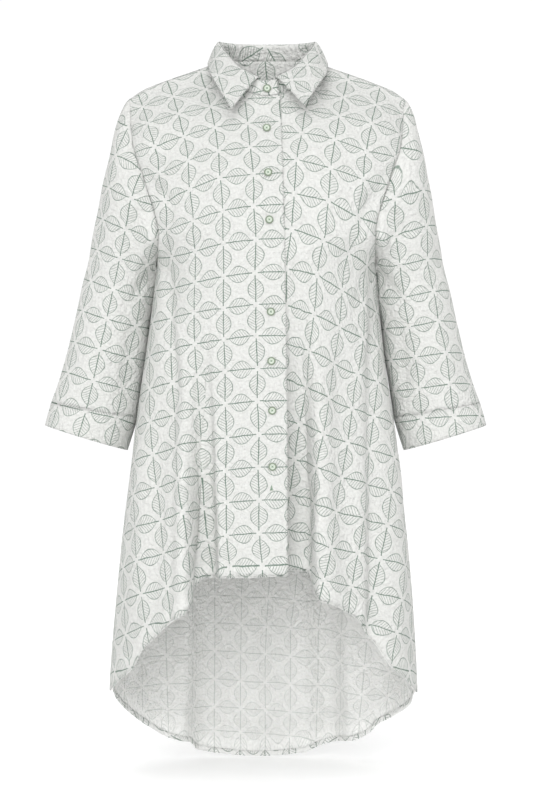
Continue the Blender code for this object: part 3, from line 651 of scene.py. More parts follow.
def ramp(value, start, end):
    """0 before start, 1 past end and smooth between."""
    part = np.clip((value - start) / (end - start), 0.0, 1.0)
    return part * part * (3 - 2 * part)


def points(x, y, z):
    return np.stack(np.broadcast_arrays(x, y, z), axis=-1).astype(float)


def lengths(vectors):
    return np.linalg.norm(vectors, axis=-1, keepdims=True)


def reached(line):
    """How far along a line each of its points is."""
    return np.concatenate(([0], np.cumsum(lengths(np.diff(line, axis=0))[:, 0])))


def fine_steps(count):
    """Places of a finer grid's lines, counted in the coarse one's."""
    return np.arange(count * FINER + 1) / FINER


# ---- neck curves
def from_front(angle):
    return np.abs((np.asarray(angle, dtype=float) + 180) % 360 - 180)


def neck_height(angle, name):
    return follow(NECK, name, "angle", from_front(angle), level=True)


def neck_outward(angle):
    """Level direction away from the neck. Angle in degrees from the front, + to the wearer's right."""
    turn = np.radians(angle)
    return points(-np.sin(turn), -np.cos(turn), 0 * turn)


def neck_seam(angle):
    """The seam between body and collar stand."""
    oval = neck_outward(angle) * (NECK_HALF_WIDTH, NECK_HALF_DEPTH, 0)
    return oval + points(0, NECK_MIDDLE_Y, neck_height(angle, "seam_z"))


def fold_line(angle):
    """The collar's top edge, where the leaf turns over."""
    oval = neck_outward(angle) * (FOLD_HALF_WIDTH, FOLD_HALF_DEPTH, 0)
    return oval + points(0, FOLD_MIDDLE_Y, neck_height(angle, "fold_z"))


def neckline_angle(across):
    """Angle round the neck of a panel's column, from 0 at its middle to 90 at the neck corner."""
    share = across / NECK_CORNER
    return 90 * (NECK_CROWDING * share + (1 - NECK_CROWDING) * share**3)


# ---- body panels
def shoulder_seam(side, across):
    share = np.clip((across - NECK_CORNER) / (1 - NECK_CORNER), 0, 1)[..., None]
    neck_point = neck_seam(-90.0 * side)
    tip = np.array(SHOULDER_TIP) * (side, 1, 1)
    bow = SHOULDER_BOW * share**2 * (1 - share) * BOW_GAIN
    return neck_point * (1 - share) + tip * share + bow * (0, 0, 1)


def top_edge(half, across):
    angle = neckline_angle(across)
    if half.at_back:
        angle = 180 - angle
    neckline = neck_seam(-half.side * angle)
    shoulder = shoulder_seam(half.side, across)
    return np.where((across < NECK_CORNER)[..., None], neckline, shoulder)


def ridge_row(half, across):
    """The back's first row below its top edge: the top of the shoulder."""
    return curve(RIDGE, "across", across) * (half.side, 1, 1)


def chest_row(side, row, across):
    turn = across * math.pi / 2
    x = side * row.edge_x * np.sin(turn)
    y = row.edge_y + (row.middle_y - row.edge_y) * np.cos(turn)
    z = row.middle_z + (row.edge_z - row.middle_z) * np.sin(turn) ** 2
    return points(x, y, z)


def body_section(half, z, across):
    """A level of the body below the armholes, before folds."""
    turn = across * math.pi / 2
    depth_name = "back" if half.at_back else "front"
    half_width = follow(BODY, "half_width", "z", z)
    depth = follow(BODY, depth_name, "z", z)
    side_y = follow(BODY, "side_y", "z", z)
    box = 1 + follow(BODY, depth_name + "_box", "z", z) * np.sin(2 * turn) ** 2
    x = half.side * half_width * np.sin(turn) * box + follow(BODY, "sway", "z", z)
    reach = depth - side_y if half.at_back else -(depth + side_y)
    y = side_y + reach * np.cos(turn) * box
    return points(x, y, z)


def hem_height(half, across):
    return follow(half.hem, "z", "x", HEM_REFERENCE * np.sin(across * math.pi / 2), level=True)


def upper_rows(half, across):
    """Rows of points from the top edge to below the armhole, and how far below the top each is."""
    top_z = neck_height(180 if half.at_back else 0, "seam_z")
    stack = [top_edge(half, across)]
    heights = [top_z]
    if half.at_back:
        stack.append(ridge_row(half, across))
        heights.append(top_z - RIDGE_DROP)
    for row in half.chest:
        stack.append(chest_row(half.side, row, across))
        heights.append(row.middle_z)
    for z in (CHEST_Z, CHEST_Z - BELOW_CHEST):
        stack.append(body_section(half, np.full_like(across, z), across))
        heights.append(z)
    return np.stack(stack), top_z - np.array(heights, dtype=float)


def base_row(half, level, across):
    """A row of a panel before folds. Its level is 0 on the top edge, 1 at the chest, 2 on the hem."""
    if level <= 1:
        rows, drops = upper_rows(half, across)
        return smooth_through(drops, rows, [drops[-2] * level**TOP_CROWDING])[0]
    z = CHEST_Z + (hem_height(half, across) - CHEST_Z) * (level - 1)
    return body_section(half, z, across)


def fold_shift(folds, x, z):
    """Outward and sideways shift of the cloth by folds, x being the distance from the middle."""
    out = np.zeros_like(x)
    sideways = np.zeros_like(x)
    for fold in folds:
        along = np.clip((fold.top_z - z) / (fold.top_z - fold.low_z), 0, FOLD_OVERRUN)
        offset = x - (fold.top_x + (fold.low_x - fold.top_x) * along)
        width = np.where(offset < 0, fold.inner, fold.outer)
        width = width * (FOLD_TOP_WIDTH + (1 - FOLD_TOP_WIDTH) * along)
        shape = np.exp(-(np.abs(offset / width) ** fold.power)) * ramp(along, 0.0, FOLD_FULL)
        out += fold.depth * shape
        sideways += fold.lean * shape
    return out, sideways


def folded_row(half, level, across):
    """A row of a panel, with its folds pushed out of its level line and along it."""
    row = base_row(half, level, across)
    along = np.gradient(row, axis=0) * (1, 1, 0)
    along /= lengths(along)
    facing = -half.side if half.at_back else half.side
    out = np.stack((along[:, 1], -along[:, 0], 0 * along[:, 0]), axis=-1) * facing
    depth, sideways = fold_shift(half.folds, half.side * row[:, 0], row[:, 2])
    free = 1 - ramp(across, FOLD_FREE_SIDE, 1.0)
    row = row + out * (depth * free)[:, None] + along * (sideways * free)[:, None]
    if half is FRONT_LEFT:
        row = under_lap(row)
    return row


def under_lap(row):
    """Sets the left front back behind the right one, out again beyond the lap's edge."""
    past_edge = row[:, 0] - follow(LAP, "x", "z", row[:, 2])
    behind = (CLOTH + LAP_GAP) * (1 - ramp(past_edge, *LAP_EASE))
    return row + points(0.0, behind, 0.0)


def guide_across(half, guide, level):
    """Place of a guide: down from its column on the top edge, then along its fold."""
    share = max(level - 1, 0)
    z = CHEST_Z + (hem_height(half, guide.low_x / HEM_REFERENCE) - CHEST_Z) * share
    half_width = follow(BODY, "half_width", "z", z)
    on_fold = math.asin(guide.low_x / half_width) * 2 / math.pi
    return guide.across_top + (on_fold - guide.across_top) * ramp(level, 0, 1)


def first_column(half, level):
    """The middle of the back, or a front's edge past the middle."""
    if half.at_back:
        return 0.0
    across = np.linspace(LAP_REACH, 0, FINE_STEPS)
    row = base_row(half, level, across)
    inside_edge = half.side * row[:, 0] + follow(LAP, "x", "z", row[:, 2])
    return np.interp(0, inside_edge, across)


def even_across(half, level, finer):
    """Columns spaced evenly over a row's cloth between its guides."""
    first = first_column(half, level)
    fine = np.linspace(first, 1, FINE_STEPS)
    line = folded_row(half, level, fine)
    along = reached(line)
    stops = [first] + [guide_across(half, guide, level) for guide in half.guides] + [1.0]
    columns = [[first]]
    for start, end, count in zip(stops, stops[1:], half.columns):
        between = np.linspace(*np.interp((start, end), fine, along), count * finer + 1)[1:-1]
        columns += [np.interp(between, along, fine), [end]]
    return np.concatenate(columns)


def levels(half, counts):
    """Rows down a panel, the last two on the turned hem's upper edge and on the hem."""
    middle_length = CHEST_Z - hem_height(half, 0.0)
    upper = np.linspace(0, 1, counts[0] + 1)
    lower = np.linspace(1, 2 - HEM_WIDTH / middle_length, counts[1] + 1)[1:]
    return np.concatenate((upper, lower, [2.0]))


def half_grid(half, finer=1, rows=PANEL_ROWS):
    """Points of a half panel, rows from its top edge to its hem, columns from its middle out."""
    line = [folded_row(half, level, even_across(half, level, finer)) for level in levels(half, rows)]
    return np.stack(line)


def back_grid():
    return np.concatenate((half_grid(BACK_RIGHT)[:, :0:-1], half_grid(BACK_LEFT)), axis=1)


# ---- sleeves and cuffs
def ring_points(side, ring, turn):
    """An oval ring. The turn runs from the inner side through the front and back again."""
    angle = 2 * math.pi * turn
    tilt = math.radians(ring.tilt)
    inward = ring.half_width * np.cos(angle)
    x = SLEEVE_SWAY + side * (ring.x - inward * math.cos(tilt))
    y = ring.y - ring.half_depth * np.sin(angle)
    z = ring.z - inward * math.sin(tilt)
    return points(x, y, z)


def armhole(side, turn):
    """The armhole seam, from the underarm up the front, over the shoulder and down the back."""
    front = FRONT_LEFT if side > 0 else FRONT_RIGHT
    back = BACK_LEFT if side > 0 else BACK_RIGHT
    edge = np.array([1.0])
    up_front = [base_row(front, 1 - 2 * share, edge)[0] for share in turn[turn <= 0.5]]
    down_back = [base_row(back, 2 * share - 1, edge)[0] for share in turn[turn > 0.5]]
    return np.array(up_front + down_back)


def sleeve_grid(side, columns=SLEEVE_COLUMNS, rows=SLEEVE_ROWS):
    turn = np.arange(columns) / columns
    start = armhole(side, turn)
    rings = np.stack([ring_points(side, ring, turn) for ring in SLEEVE_RINGS])
    stations = -column(SLEEVE_RINGS, "z")
    leaving = np.gradient(rings, stations, axis=0)[0]
    leaving /= lengths(leaving)
    reach = lengths(rings[0] - start)
    heading = curve(CAP_HEADINGS, "turn", turn) * (side, 1, 1)
    heading *= follow(CAP_HEADINGS, "length", "turn", turn)[:, None] * reach / lengths(heading)
    share = np.linspace(0, 1, rows[0] + 1)[:, None, None]
    cap = start * (1 + 2 * share) * (1 - share) ** 2
    cap = cap + rings[0] * share**2 * (3 - 2 * share)
    cap = cap + heading * share * (1 - share) ** 2
    cap = cap + leaving * reach * CAP_FALL * share**2 * (share - 1)
    tube = smooth_through(stations, rings, np.linspace(stations[0], stations[-1], rows[1] + 1)[1:])
    return np.concatenate((cap, tube))


def cuff_grid(side, columns=SLEEVE_COLUMNS, rows=CUFF_ROWS):
    turn = np.arange(columns) / columns
    rings = np.stack([ring_points(side, ring, turn) for ring in CUFF_RINGS])
    stations = -column(CUFF_RINGS, "z")
    return smooth_through(stations, rings, np.linspace(stations[0], stations[-1], rows + 1))


# ---- collar
def stand_grid(columns=STAND_SIZE[0], rows=STAND_SIZE[1]):
    """The stand, its right end lying over its left end at the front."""
    angle = np.linspace(-STAND_LAP, 360 + STAND_LAP, columns + 1)
    low = neck_seam(angle)
    high = fold_line(angle)
    inward = (COLLAR_CLOTH + LAP_GAP) * ramp(angle, 360 - STAND_LAP - STAND_LAP_EASE, 360 - STAND_LAP)
    share = np.linspace(0, 1, rows + 1)[:, None, None]
    return low - neck_outward(angle) * inward[:, None] + (high - low) * share


def leaf_grid(columns=LEAF_SIZE[0], rows=LEAF_SIZE[1]):
    """The leaf, rolled over the stand's top edge and down to its outer edge."""
    angle = np.linspace(LEAF_START, 360 - LEAF_START, columns + 1)
    outer = curve(LEAF_EDGE, "angle", angle)
    top = fold_line(angle) + (0, 0, SEAM_GAP)
    outward = neck_outward(angle)
    over = top + outward * LEAF_ROLL_OUT + (0, 0, LEAF_ROLL_UP)
    lower = outer + (top - outer) * LEAF_BELLY_SHARE + outward * LEAF_BELLY
    share = np.linspace(0, 1, rows + 1)[:, None, None]
    rest = 1 - share
    return top * rest**3 + over * 3 * rest**2 * share + lower * 3 * rest * share**2 + outer * share**3


# ---- mesh helpers
def pull_in(grid, top=0.0, bottom=0.0, start=0.0, end=0.0):
    """Moves the edges of a sheet in by a few tenths, so that seams don't touch."""
    grid = grid.copy()
    for amount, edge, inner in ((top, 0, 1), (bottom, -1, -2)):
        step = grid[inner] - grid[edge]
        grid[edge] += step / lengths(step) * np.reshape(amount, (-1, 1))
    for amount, edge, inner in ((start, 0, 1), (end, -1, -2)):
        step = grid[:, inner] - grid[:, edge]
        grid[:, edge] += step / lengths(step) * np.reshape(amount, (-1, 1))
    return grid


def surface_normals(grid):
    across = np.gradient(grid, axis=1)
    down = np.gradient(grid, axis=0)
    normal = np.cross(down, across)
    return normal / lengths(normal)


# ---- finer grids
def crease_depth(creases, a, z):
    """Sum of creases at places given across and down the cloth."""
    depth = np.zeros_like(a)
    for crease in creases:
        run = np.array((crease.to_a - crease.from_a, crease.to_z - crease.from_z), dtype=float)
        length = np.hypot(*run)
        run /= length
        da = a - crease.from_a
        dz = z - crease.from_z
        share = (da * run[0] + dz * run[1]) / length
        within = np.clip(share, 0, 1)
        off = da * run[1] - dz * run[0] - crease.bow * 4 * within * (1 - within)
        end_fade = ramp(share, *CREASE_STARTS) * (1 - ramp(share, *CREASE_ENDS))
        depth += CREASE_GAIN * crease.depth * np.exp(-((off / crease.width) ** 2)) * end_fade
    return depth


def unevenness(grid, seed):
    """A slight waviness, so that no stretch of cloth is perfectly smooth."""
    chance = np.random.RandomState(seed)
    total = np.zeros(grid.shape[:2])
    for _ in range(UNEVEN_WAVES):
        heading = chance.normal(size=3)
        heading /= np.linalg.norm(heading)
        wave = chance.uniform(*UNEVEN_LENGTHS)
        phase = chance.uniform(0, 2 * math.pi)
        total += np.sin(grid @ heading * 2 * math.pi / wave + phase)
    return UNEVEN * total / math.sqrt(UNEVEN_WAVES)


def creased_half(half, creases, seed):
    grid = half_grid(half, FINER, FINE_PANEL_ROWS)
    facing = -half.side if half.at_back else half.side
    normals = surface_normals(grid) * facing
    a = half.side * grid[..., 0]
    depth = crease_depth(creases, a, grid[..., 2]) + unevenness(grid, seed)
    return grid + normals * seam_fade(grid, depth)[..., None]


def seam_fade(grid, depth):
    """Creases fade out at the armhole, side seam, shoulder and neck, where pieces are sewn."""
    rows, columns = grid.shape[:2]
    from_side = np.arange(columns)[::-1] / columns
    from_top = np.arange(rows) / rows
    return depth * ramp(from_side, 0, SIDE_FADE)[None, :] * ramp(from_top, 0, TOP_FADE)[:, None]


# ---- laying the print
def in_photo(grid):
    """Where points show in the photograph, as complex pixels."""
    scale = PIXEL * (CAMERA_DISTANCE + grid[..., 1]) / CAMERA_DISTANCE
    x = IMAGE_MIDDLE[0] + grid[..., 0] / scale
    y = IMAGE_MIDDLE[1] - (grid[..., 2] - CAMERA_Z) / scale
    return x + 1j * y


def crosswise(first, second):
    return (np.conj(first) * second).imag


def triangles_of(rows, columns):
    index = np.arange(rows * columns).reshape(rows, columns)
    a, b, c, d = index[:-1, :-1], index[:-1, 1:], index[1:, 1:], index[1:, :-1]
    return np.concatenate([np.stack(t, -1).reshape(-1, 3) for t in ((a, b, c), (a, c, d))])


def hold_place(grid, triangles, place):
    """The nearest triangle that shows at a place of the photograph, and its corners' shares."""
    corners = in_photo(grid).reshape(-1)[triangles]
    spot = place.x + 1j * place.y
    whole = crosswise(corners[:, 1] - corners[:, 0], corners[:, 2] - corners[:, 0])
    sides = [(corners[:, (k + 1) % 3] - spot, corners[:, (k + 2) % 3] - spot) for k in range(3)]
    shares = np.stack([crosswise(*pair) / whole for pair in sides], axis=-1)
    beyond = np.maximum(-shares.min(axis=1), 0)
    depth = grid.reshape(-1, 3)[triangles][:, :, 1].mean(axis=1)
    best = np.argmin(beyond * BEYOND_COST + depth)
    return triangles[best], shares[best]


def flatten(grid, shape, places, pitch):
    """Lays a sheet flat, as near to the lengths of its shape as it goes, with the places held."""
    triangles = triangles_of(*grid.shape[:2])
    corners = shape.reshape(-1, 3)[triangles]
    first = corners[:, 1] - corners[:, 0]
    second = corners[:, 2] - corners[:, 0]
    length = np.linalg.norm(first, axis=1)
    along = (first * second).sum(axis=1) / length
    rise = np.linalg.norm(np.cross(first, second), axis=1) / length
    local = np.stack((0 * length, length + 0j, along + 1j * rise), axis=-1)
    edges = np.roll(local, -1, axis=1) - local
    apex = np.roll(local, -2, axis=1)
    angle = np.conj(local - apex) * (np.roll(local, -1, axis=1) - apex)
    weight = np.maximum(angle.real / angle.imag, LEAST_COTANGENT)
    starts = triangles
    ends = np.roll(triangles, -1, axis=1)

    count = grid.shape[0] * grid.shape[1]
    matrix = np.zeros((count, count))
    np.add.at(matrix, (starts, starts), weight)
    np.add.at(matrix, (ends, ends), weight)
    np.add.at(matrix, (starts, ends), -weight)
    np.add.at(matrix, (ends, starts), -weight)
    held = np.zeros(count, dtype=complex)
    for place in places:
        points_held, shares = hold_place(grid, triangles, place)
        matrix[np.ix_(points_held, points_held)] += PLACE_HOLD * np.outer(shares, shares)
        held[points_held] += PLACE_HOLD * shares * (place.u + 1j * place.v) * pitch
    inverse = np.linalg.inv(matrix)
    flat = arc_guess(shape).reshape(-1)
    for _ in range(FLATTEN_STEPS):
        turned = flat[ends] - flat[starts]
        turn = (weight * np.conj(edges) * turned).sum(axis=1)
        turn /= np.abs(turn)
        pull = weight * edges * turn[:, None]
        wanted = held.copy()
        np.add.at(wanted, ends, pull)
        np.add.at(wanted, starts, -pull)
        flat = inverse @ wanted
    return flat.reshape(grid.shape[:2])


def arc_guess(grid):
    """First guess of a flat sheet: lengths along and down it."""
    along = np.concatenate((np.zeros((len(grid), 1)), lengths(np.diff(grid, axis=1))[..., 0]), axis=1)
    down = np.concatenate((np.zeros((1, grid.shape[1])), lengths(np.diff(grid, axis=0))[..., 0]))
    return np.cumsum(along, axis=1) + 1j * np.cumsum(down, axis=0)


def close_up(grid, pitches):
    """Stretches the heights where the print is closer than its usual pitch."""
    z = np.linspace(column(pitches, "z").min(), PRINT_TOP_Z, FINE_STEPS)
    stretch = LEAF_PITCH / follow(pitches, "pitch", "z", z)
    height = np.concatenate(([0], np.cumsum((stretch[1:] + stretch[:-1]) / 2 * np.diff(z))))
    grid = grid.copy()
    grid[..., 2] = np.interp(grid[..., 2], z, height)
    return grid


def refine(values, row_stations, column_stations):
    """Values of a coarse grid at the places of a fine one."""
    down = smooth_steps(values, row_stations)
    return smooth_steps(down.T, column_stations).T


def smooth_steps(values, at):
    stations = np.arange(len(values), dtype=float)
    both = [smooth_through(stations, part, at) for part in (values.real, values.imag)]
    return both[0] + 1j * both[1]


def panel_print(coarse, places, pitch, closer=None):
    """Lattice places of a fine panel's points, from a coarse one."""
    shape = close_up(coarse, closer) if closer else coarse
    flat = flatten(coarse, shape, places, pitch) / pitch
    rows, columns = coarse.shape[:2]
    return refine(flat, np.append(fine_steps(rows - 2), rows - 1), fine_steps(columns - 1))


def opened(grid):
    """A tube cut open along its first column."""
    return np.concatenate((grid, grid[:, :1]), axis=1)


def sleeve_print(side, places):
    """Lattice places of a fine sleeve and of its cuff, which carries the print on."""
    coarse = np.concatenate((opened(sleeve_grid(side)), opened(cuff_grid(side))[1:]))
    flat = flatten(coarse, coarse, places, LEAF_PITCH) / LEAF_PITCH
    rows, columns = coarse.shape[:2]
    fine = refine(flat, fine_steps(rows - 1), fine_steps(columns - 1))
    sleeve_rows = sum(SLEEVE_ROWS) * FINER + 1
    return fine[:sleeve_rows], fine[sleeve_rows - 1 :]


# ---- sheets
# a sheet has its points, the way its right side faces and its places in the print
Sheet = namedtuple("Sheet", "grid facing flat")


def on_sheet(part, rows, columns):
    """Values of a sheet's array at places counted in rows and columns."""
    rows, columns = np.broadcast_arrays(rows, columns)
    r = np.clip(np.floor(rows).astype(int), 0, len(part) - 2)
    c = np.clip(np.floor(columns).astype(int), 0, part.shape[1] - 2)
    down = rows - r
    across = columns - c
    if part.ndim == 3:
        down = down[..., None]
        across = across[..., None]
    upper = part[r, c] * (1 - across) + part[r, c + 1] * across
    lower = part[r + 1, c] * (1 - across) + part[r + 1, c + 1] * across
    return upper * (1 - down) + lower * down


def turned(sheet):
    """The sheet with its columns as rows."""
    return Sheet(*(part.swapaxes(0, 1) for part in sheet))


def flipped(sheet):
    """The sheet with its rows in the opposite order."""
    return Sheet(*(part[::-1] for part in sheet))


def inner_side(sheet):
    return sheet._replace(facing=-sheet.facing)


def from_last_row(grid, distance):
    """For each column, the place in rows at a distance from the sheet's last row."""
    steps = lengths(np.diff(grid[::-1], axis=0))[..., 0]
    far = np.concatenate((np.zeros((1, grid.shape[1])), np.cumsum(steps, axis=0)))
    rows = np.arange(len(grid))
    return len(grid) - 1 - np.array([np.interp(distance, line, rows) for line in far.T])


def edge_band(sheet, distances, off):
    """The stretch of a sheet at some distances from its last row, moved off its right side."""
    rows = np.stack([from_last_row(sheet.grid, distance) for distance in distances])
    columns = np.arange(sheet.grid.shape[1])[None, :]
    grid, facing, flat = (on_sheet(part, rows, columns) for part in sheet)
    return Sheet(grid + facing * off, facing, flat)


def hem_fold(sheet):
    """The turned edge of a panel: its cloth goes round the lower edge and up the inside."""
    low, upper = sheet.grid[-1], sheet.grid[-2]
    down = (low - upper) / lengths(low - upper)
    facing = sheet.facing[-2]
    turn = sheet.flat[-1] - sheet.flat[-2]
    rows = [low - down * row.up + facing * row.out for row in HEM_SECTION]
    flat = [sheet.flat[-1] + turn * row.up / HEM_WIDTH for row in HEM_SECTION]
    return Sheet(np.stack(rows), np.stack([-facing] * len(rows)), np.stack(flat))


# ---- meshes
def cloth_piece(name, sheet, wall, materials, closed=False, lined_rows=0):
    """A thin piece of cloth with its print's places as a UV map.

    The materials are the right side's, the wrong side's and, for the lined rows at the top, both again.
    """
    rows, columns = sheet.grid.shape[:2]
    across = columns if closed else columns - 1
    row_start = (np.arange(rows - 1) * columns)[:, None]
    first = row_start + np.arange(across)
    second = row_start + (np.arange(across) + 1) % columns
    corners = np.stack((first, second, second + columns, first + columns), axis=-1)
    upper, lower = sheet.flat[:-1], sheet.flat[1:]
    after = slice(1, across + 1)
    places = np.stack((upper[:, :across], upper[:, after], lower[:, after], lower[:, :across]), axis=-1)
    if (surface_normals(sheet.grid) * sheet.facing).sum() > 0:
        corners = corners[..., ::-1]
        places = places[..., ::-1]
    mesh = bpy.data.meshes.new(name)
    mesh.from_pydata((sheet.grid.reshape(-1, 3) * MM).tolist(), [], corners.reshape(-1, 4).tolist())
    layer = mesh.uv_layers.new(name=PRINT_MAP)
    places = places.reshape(-1)
    layer.data.foreach_set("uv", np.stack((places.real, places.imag), -1).astype(np.float32).ravel())
    mesh.shade_smooth()
    for material in materials:
        mesh.materials.append(material)
    lined = np.arange(len(mesh.polygons)) < lined_rows * across
    mesh.polygons.foreach_set("material_index", lined.astype(np.int32) * 2)
    piece = ride(name, mesh)
    thick = piece.modifiers.new("Cloth", "SOLIDIFY")
    thick.thickness = wall * MM
    thick.offset = 0
    thick.use_quality_normals = True
    thick.material_offset = min(len(materials) - 1, 1)
    return piece


def add_object(name, data):
    thing = bpy.data.objects.new(name, data)
    bpy.context.scene.collection.objects.link(thing)
    return thing


def ride(name, mesh):
    """A piece of the visual model, on the garment's one body."""
    piece = add_object(name, mesh)
    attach(piece, "root")
    return piece


def along_line(line, facing, step):
    """Places at even steps along a line on the cloth, the way it runs there, and the way it faces."""
    along = reached(line)
    count = max(int(along[-1] // step), 1)
    at = (np.arange(count) + 0.5) * along[-1] / count
    places, ahead, facing = (
        np.stack([np.interp(at, along, part[:, axis]) for axis in range(3)], axis=-1)
        for part in (line, np.gradient(line, axis=0), facing)
    )
    return places, ahead / lengths(ahead), facing / lengths(facing)


def stitches(places, ahead, facing, length, radius=THREAD_RADIUS):
    """Corners and faces of small stitches: pointed at both ends, four-sided between."""
    side = np.cross(facing, ahead)
    side /= lengths(side)
    length = np.reshape(length, (-1, 1)) * np.ones((len(places), 1))
    corners = [places - ahead * length / 2 - facing * radius / 2]
    for share in (-STITCH_SHOULDER, STITCH_SHOULDER):
        for quarter in range(4):
            turn = quarter * math.pi / 2
            outward = (side * math.cos(turn) + facing * math.sin(turn)) * radius
            corners.append(places + ahead * length * share + outward)
    corners.append(places + ahead * length / 2 - facing * radius / 2)
    faces = []
    for quarter in range(4):
        after = (quarter + 1) % 4
        faces += [(0, 1 + after, 1 + quarter), (9, 5 + quarter, 5 + after)]
        faces += [(1 + quarter, 1 + after, 5 + after, 5 + quarter)]
    return np.stack(corners, axis=1), faces


def sewn(name, groups, material):
    """Groups of stitches as one mesh."""
    corners_all, faces_all = [], []
    start = 0
    for corners, faces in groups:
        count = corners.shape[1]
        corners_all.append(corners.reshape(-1, 3))
        for number in range(len(corners)):
            faces_all += [tuple(start + number * count + corner for corner in face) for face in faces]
        start += len(corners) * count
    mesh = bpy.data.meshes.new(name)
    mesh.from_pydata((np.concatenate(corners_all) * MM).tolist(), [], faces_all)
    mesh.shade_smooth()
    mesh.materials.append(material)
    return ride(name, mesh)


def edge_line(sheet, distance, wall):
    """A line for thread on a sheet's right side, at a distance from its last row, and the way it faces."""
    band = edge_band(sheet, (distance,), wall / 2 + THREAD_RADIUS / 2)
    return band.grid[0], band.facing[0]


def edge_stitches(sheet, distance, wall):
    return stitches(*along_line(*edge_line(sheet, distance, wall), STITCH_STEP), STITCH_LENGTH)


def overlock(line, facing):
    """Slanted stitches over a seam allowance's edge."""
    places, ahead, facing = along_line(line, facing, OVERLOCK_STEP)
    slant = np.cross(ahead, facing) * OVERLOCK_SLANT
    ahead = ahead + slant * np.where(np.arange(len(places)) % 2, 1, -1)[:, None]
    return stitches(places, ahead / lengths(ahead), facing, OVERLOCK_LENGTH)


def seam_allowance(name, sheet):
    """The allowance inside a seam at a sheet's last row, and its overlocked edge."""
    band = edge_band(inner_side(sheet), ALLOWANCE_AT, ALLOWANCE_OFF)
    cloth = cloth_piece(name, band, ALLOWANCE_SHELL, (lined_cotton_painted_light,))
    edge = edge_line(inner_side(sheet), ALLOWANCE_AT[0], 2 * ALLOWANCE_OFF + ALLOWANCE_SHELL)
    return [cloth, sewn(name + "_stitches", [overlock(*edge)], white_thread)]


# ---- materials
def feed(tree, socket, value):
    """Links a value to a node's input, or sets it there."""
    if isinstance(value, Number):
        value = value.socket
    if isinstance(value, bpy.types.NodeSocket):
        tree.links.new(value, socket)
    elif socket.type == "RGBA":
        socket.default_value = (*value, 1)
    else:
        socket.default_value = value


def add_node(tree, kind, inputs, **settings):
    """A shader node with its settings and its inputs, which are given by name or place."""
    node = tree.nodes.new("ShaderNode" + kind)
    for name, value in settings.items():
        setattr(node, name, value)
    for name, value in inputs.items():
        feed(tree, node.inputs[name], value)
    return node


class Number:
    """A value in a node tree, so that patterns can be written as sums."""

    def __init__(self, tree, socket):
        self.tree = tree
        self.socket = socket

    def through(self, operation, *others, clamp=False):
        inputs = dict(enumerate((self, *others)))
        node = add_node(self.tree, "Math", inputs, operation=operation, use_clamp=clamp)
        return Number(self.tree, node.outputs[0])

    __add__ = partialmethod(through, "ADD")
    __sub__ = partialmethod(through, "SUBTRACT")
    __mul__ = partialmethod(through, "MULTIPLY")
    __truediv__ = partialmethod(through, "DIVIDE")
    __pow__ = partialmethod(through, "POWER")
    size = partialmethod(through, "ABSOLUTE")
    floor = partialmethod(through, "FLOOR")
    fraction = partialmethod(through, "FRACT")
    sine = partialmethod(through, "SINE")
    root = partialmethod(through, "SQRT")
    above = partialmethod(through, "GREATER_THAN")
    most = partialmethod(through, "MAXIMUM")
    least = partialmethod(through, "MINIMUM")
    clamp = partialmethod(through, "ADD", 0.0, clamp=True)

    def __neg__(self):
        return self * -1.0

    def line(self, width):
        """1 where the value is 0, falling to 0 at the width."""
        return (self.size() * (-1.0 / width) + 1.0).through("MULTIPLY", LINE_SHARPNESS, clamp=True)


def new_material(name, roughness, specular, sheen=0.0):
    material = bpy.data.materials.new(name)
    material.use_nodes = True
    tree = material.node_tree
    shader = tree.nodes["Principled BSDF"]
    shader.inputs["Roughness"].default_value = roughness
    shader.inputs["Specular IOR Level"].default_value = specular
    shader.inputs["Sheen Weight"].default_value = sheen
    return material, tree, shader


def split(tree, vector):
    node = add_node(tree, "SeparateXYZ", {0: vector})
    return [Number(tree, socket) for socket in node.outputs]


def join(tree, *parts):
    return add_node(tree, "CombineXYZ", dict(enumerate(parts))).outputs[0]


def noise_node(tree, vector, scale, detail=2.0):
    return add_node(tree, "TexNoise", {"Scale": scale, "Detail": detail, "Vector": vector})


def noise(tree, *settings):
    return Number(tree, noise_node(tree, *settings).outputs["Fac"])


def chances(tree, *cell):
    """Three random numbers for a cell."""
    node = add_node(tree, "TexWhiteNoise", {"Vector": join(tree, *cell)}, noise_dimensions="3D")
    parts = add_node(tree, "SeparateColor", {0: node.outputs["Color"]})
    return [Number(tree, socket) for socket in parts.outputs[:3]]


def mix_colour(tree, share, first, second):
    return add_node(tree, "Mix", {"Factor": share, 6: first, 7: second}, data_type="RGBA").outputs[2]


def leaf_ink(tree, along, across, cell, width):
    """Ink of one leaf. Along runs from 0 to 1 between two crossings, across is 0 on its midrib."""
    turn, spread, vein_place = chances(tree, *cell)
    flip = turn.above(0.5)
    place = along + flip * (along * -2.0 + 1.0)
    share = (place - LEAF_BASE) / (LEAF_TIP - LEAF_BASE)
    rest = -share + 1.0
    off = across.size()
    skewed = share.most(0.0).least(1.0) ** LEAF_SKEW
    swell = (skewed * (-skewed + 1.0) * 4.0) ** LEAF_FULLNESS
    half = swell * (spread * LEAF_SPREAD + (1 - LEAF_SPREAD / 2)) * (width / 2)
    outline = (off - half).line(OUTLINE) * share.above(-EDGE_RUN) * rest.above(-EDGE_RUN)
    midrib = off.line(MIDRIB) * along.above(STEM_GAP) * (-along + 1.0).above(STEM_GAP)
    slanted = share - off * VEIN_SLANT + off * off * VEIN_CURVE
    rows = (slanted + vein_place * VEIN_SPACING) / VEIN_SPACING
    within = (half - off).above(OUTLINE / 2) * share.above(VEIN_START) * rest.above(VEIN_START)
    vein = ((rows.fraction() - 0.5) * VEIN_SPACING).line(VEIN) * within
    return (outline * OUTLINE_INK).most(midrib * MIDRIB_INK).most(vein * VEIN_INK)


